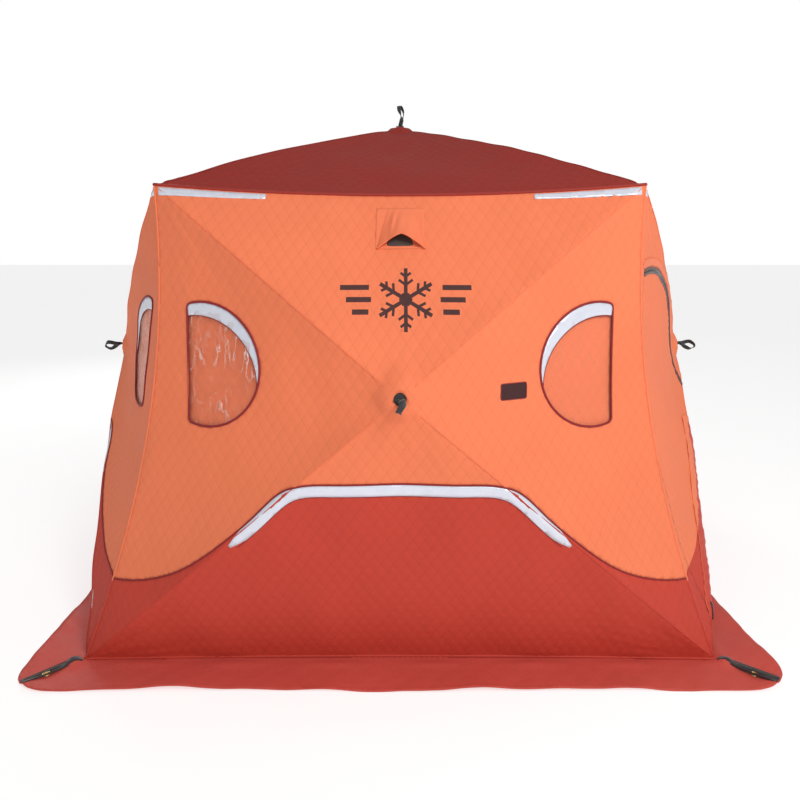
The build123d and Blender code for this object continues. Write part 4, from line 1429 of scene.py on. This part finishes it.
# ---- hub pulls ----
def hub_frame(name):
    """A matrix at a hub: X across, Z out."""
    surface = SURFACES[name]
    out = Vector(surface.turned(surface.out[None, :])[0])
    across = Vector(surface.turned(np.array([[1.0, 0, 0]]))[0])
    up = out.cross(across)
    matrix = Matrix((across, up, out)).transposed().to_4x4()
    matrix.translation = Vector(surface.turned(surface.hub[None, :])[0])
    return matrix


def loop_ribbon(steps):
    """A closed, twisted ribbon's middle line, its width directions and its thickness directions."""
    phi = np.linspace(0, 2 * math.pi, steps, endpoint=False)
    along = 0.004 + LOOP_REACH * (1 - np.cos(phi)) / 2
    pinch = 0.20 + 0.80 * np.clip((along - 0.030) / 0.040, 0, 1)
    apart = LOOP_SPREAD * np.sin(phi) * pinch
    sway = 0.010 * np.sin(along / LOOP_REACH * math.pi)
    twist = math.pi * 0.9 * np.clip(along / LOOP_REACH, 0, 1) + 0.25 * np.sin(phi * 2)
    centre = np.stack([apart * 0.55 + sway, apart, along], 1)
    wide = np.stack([np.cos(twist), np.sin(twist), 0.12 * np.sin(phi)], 1)
    tangent = unit(np.roll(centre, -1, 0) - np.roll(centre, 1, 0))
    wide -= tangent * (wide * tangent).sum(1)[:, None]
    wide = unit(wide)
    return centre, wide, np.cross(tangent, wide)


def build_pull(name):
    """The webbing loop that pops a hub out, and the bar tack that gathers it above the eye."""
    steps = 90
    ribbon = loop_ribbon(steps)
    points = [
        c + w * LOOP_HALF_WIDE * a + t * LOOP_HALF_THICK * b
        for c, w, t in zip(*ribbon)
        for a, b in LOOP_SECTION
    ]
    uv = [(s, a * LOOP_HALF_WIDE) for s in travel(ribbon[0]) for a, b in LOOP_SECTION]
    loop = mesh_object(f"pull_loop_{name}", points, ring_faces(steps, len(LOOP_SECTION)), ["webbing"], uv=uv)
    droop = 0.0 if name == "roof" else math.radians(18)
    loop.matrix_world = hub_frame(name) @ Matrix.Translation((0, 0, 0.017)) @ Matrix.Rotation(droop, 4, "X")
    settle(loop, "webbing", f"pull_{name}", f"pull_{name}")
    tack = lathe(f"pull_tack_{name}", TACK_PROFILE, 24, "webbing")
    flatter = Matrix.Scale(0.75, 4, (0, 1, 0))
    tack.matrix_world = loop.matrix_world @ Matrix.Translation((0.007, 0, 0.027)) @ flatter
    settle(tack, "webbing", f"pull_{name}")


for surface_name in SURFACES:
    build_pull(surface_name)

# ---- CAD nodes that stay ----
FINISHES = {
    "hub_": "plastic",
    "pole_": "fibreglass",
    "corner_cups": "plastic",
    "door_zip_slider": "steel",
}
for node_name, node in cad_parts.items():
    for prefix, finish in FINISHES.items():
        if node_name.startswith(prefix):
            node.data.materials.clear()
            node.data.materials.append(MATS[finish])


# ---- stage, light and camera ----
def build_stage():
    """A wide, pale floor just under the shelter."""
    mesh = bpy.data.meshes.new("floor")
    size = 60.0
    corners = [(-size, -size, 0), (size, -size, 0), (size, size, 0), (-size, size, 0)]
    mesh.from_pydata(corners, [], [(0, 1, 2, 3)])
    floor = bpy.data.objects.new("floor", mesh)
    floor.location.z = -0.0005
    paint = Nodes("floor_paint", (0.6, 0.6, 0.6), 0.9, Emission_Color=(1, 1, 1, 1), Emission_Strength=0.66)
    grain = paint.noise(paint.coords(), 4.0, 4.0)
    paint.set(Base_Color=paint.mix(grain, (0.42, 0.42, 0.42), (0.44, 0.44, 0.44)))
    mesh.materials.append(paint.material)
    bpy.context.collection.objects.link(floor)


def area_light(name, place, target, size, power):
    light = bpy.data.lights.new(name, "AREA")
    light.shape = "DISK"
    light.size = size
    light.energy = power
    obj = bpy.data.objects.new(name, light)
    obj.location = place
    obj.rotation_euler = (Vector(target) - Vector(place)).to_track_quat("-Z", "Y").to_euler()
    bpy.context.collection.objects.link(obj)


def build_sky():
    """A white world, seen at full strength by the camera and less bright as a light."""
    world = bpy.data.worlds.new("studio")
    bpy.context.scene.world = world
    world.use_nodes = True
    tree = world.node_tree
    background = tree.nodes["Background"].inputs
    background["Color"].default_value = (1, 1, 1, 1)
    seen = tree.nodes.new("ShaderNodeLightPath").outputs["Is Camera Ray"]
    strength = tree.nodes.new("ShaderNodeMapRange")
    strength.inputs["To Min"].default_value = SKY_LIGHT
    strength.inputs["To Max"].default_value = SKY_SEEN
    tree.links.new(seen, strength.inputs["Value"])
    tree.links.new(strength.outputs["Result"], background["Strength"])


def build_camera():
    data = bpy.data.cameras.new("camera")
    data.sensor_width = 36
    data.lens = LENS
    data.clip_end = 200
    camera = bpy.data.objects.new("camera", data)
    camera.location = CAMERA_AT
    camera.rotation_euler = (math.pi / 2 - CAMERA_TILT, 0, 0)
    bpy.context.collection.objects.link(camera)
    bpy.context.scene.camera = camera


build_stage()
area_light("key", (2.4, -5.0, 4.4), (0, 0, 0.9), 2.4, KEY_POWER)
area_light("back", (-3.0, 5.5, 4.0), (0, 0, 0.9), 3.0, BACK_POWER)
build_sky()
bpy.context.scene.view_settings.view_transform = "Standard"
build_camera()
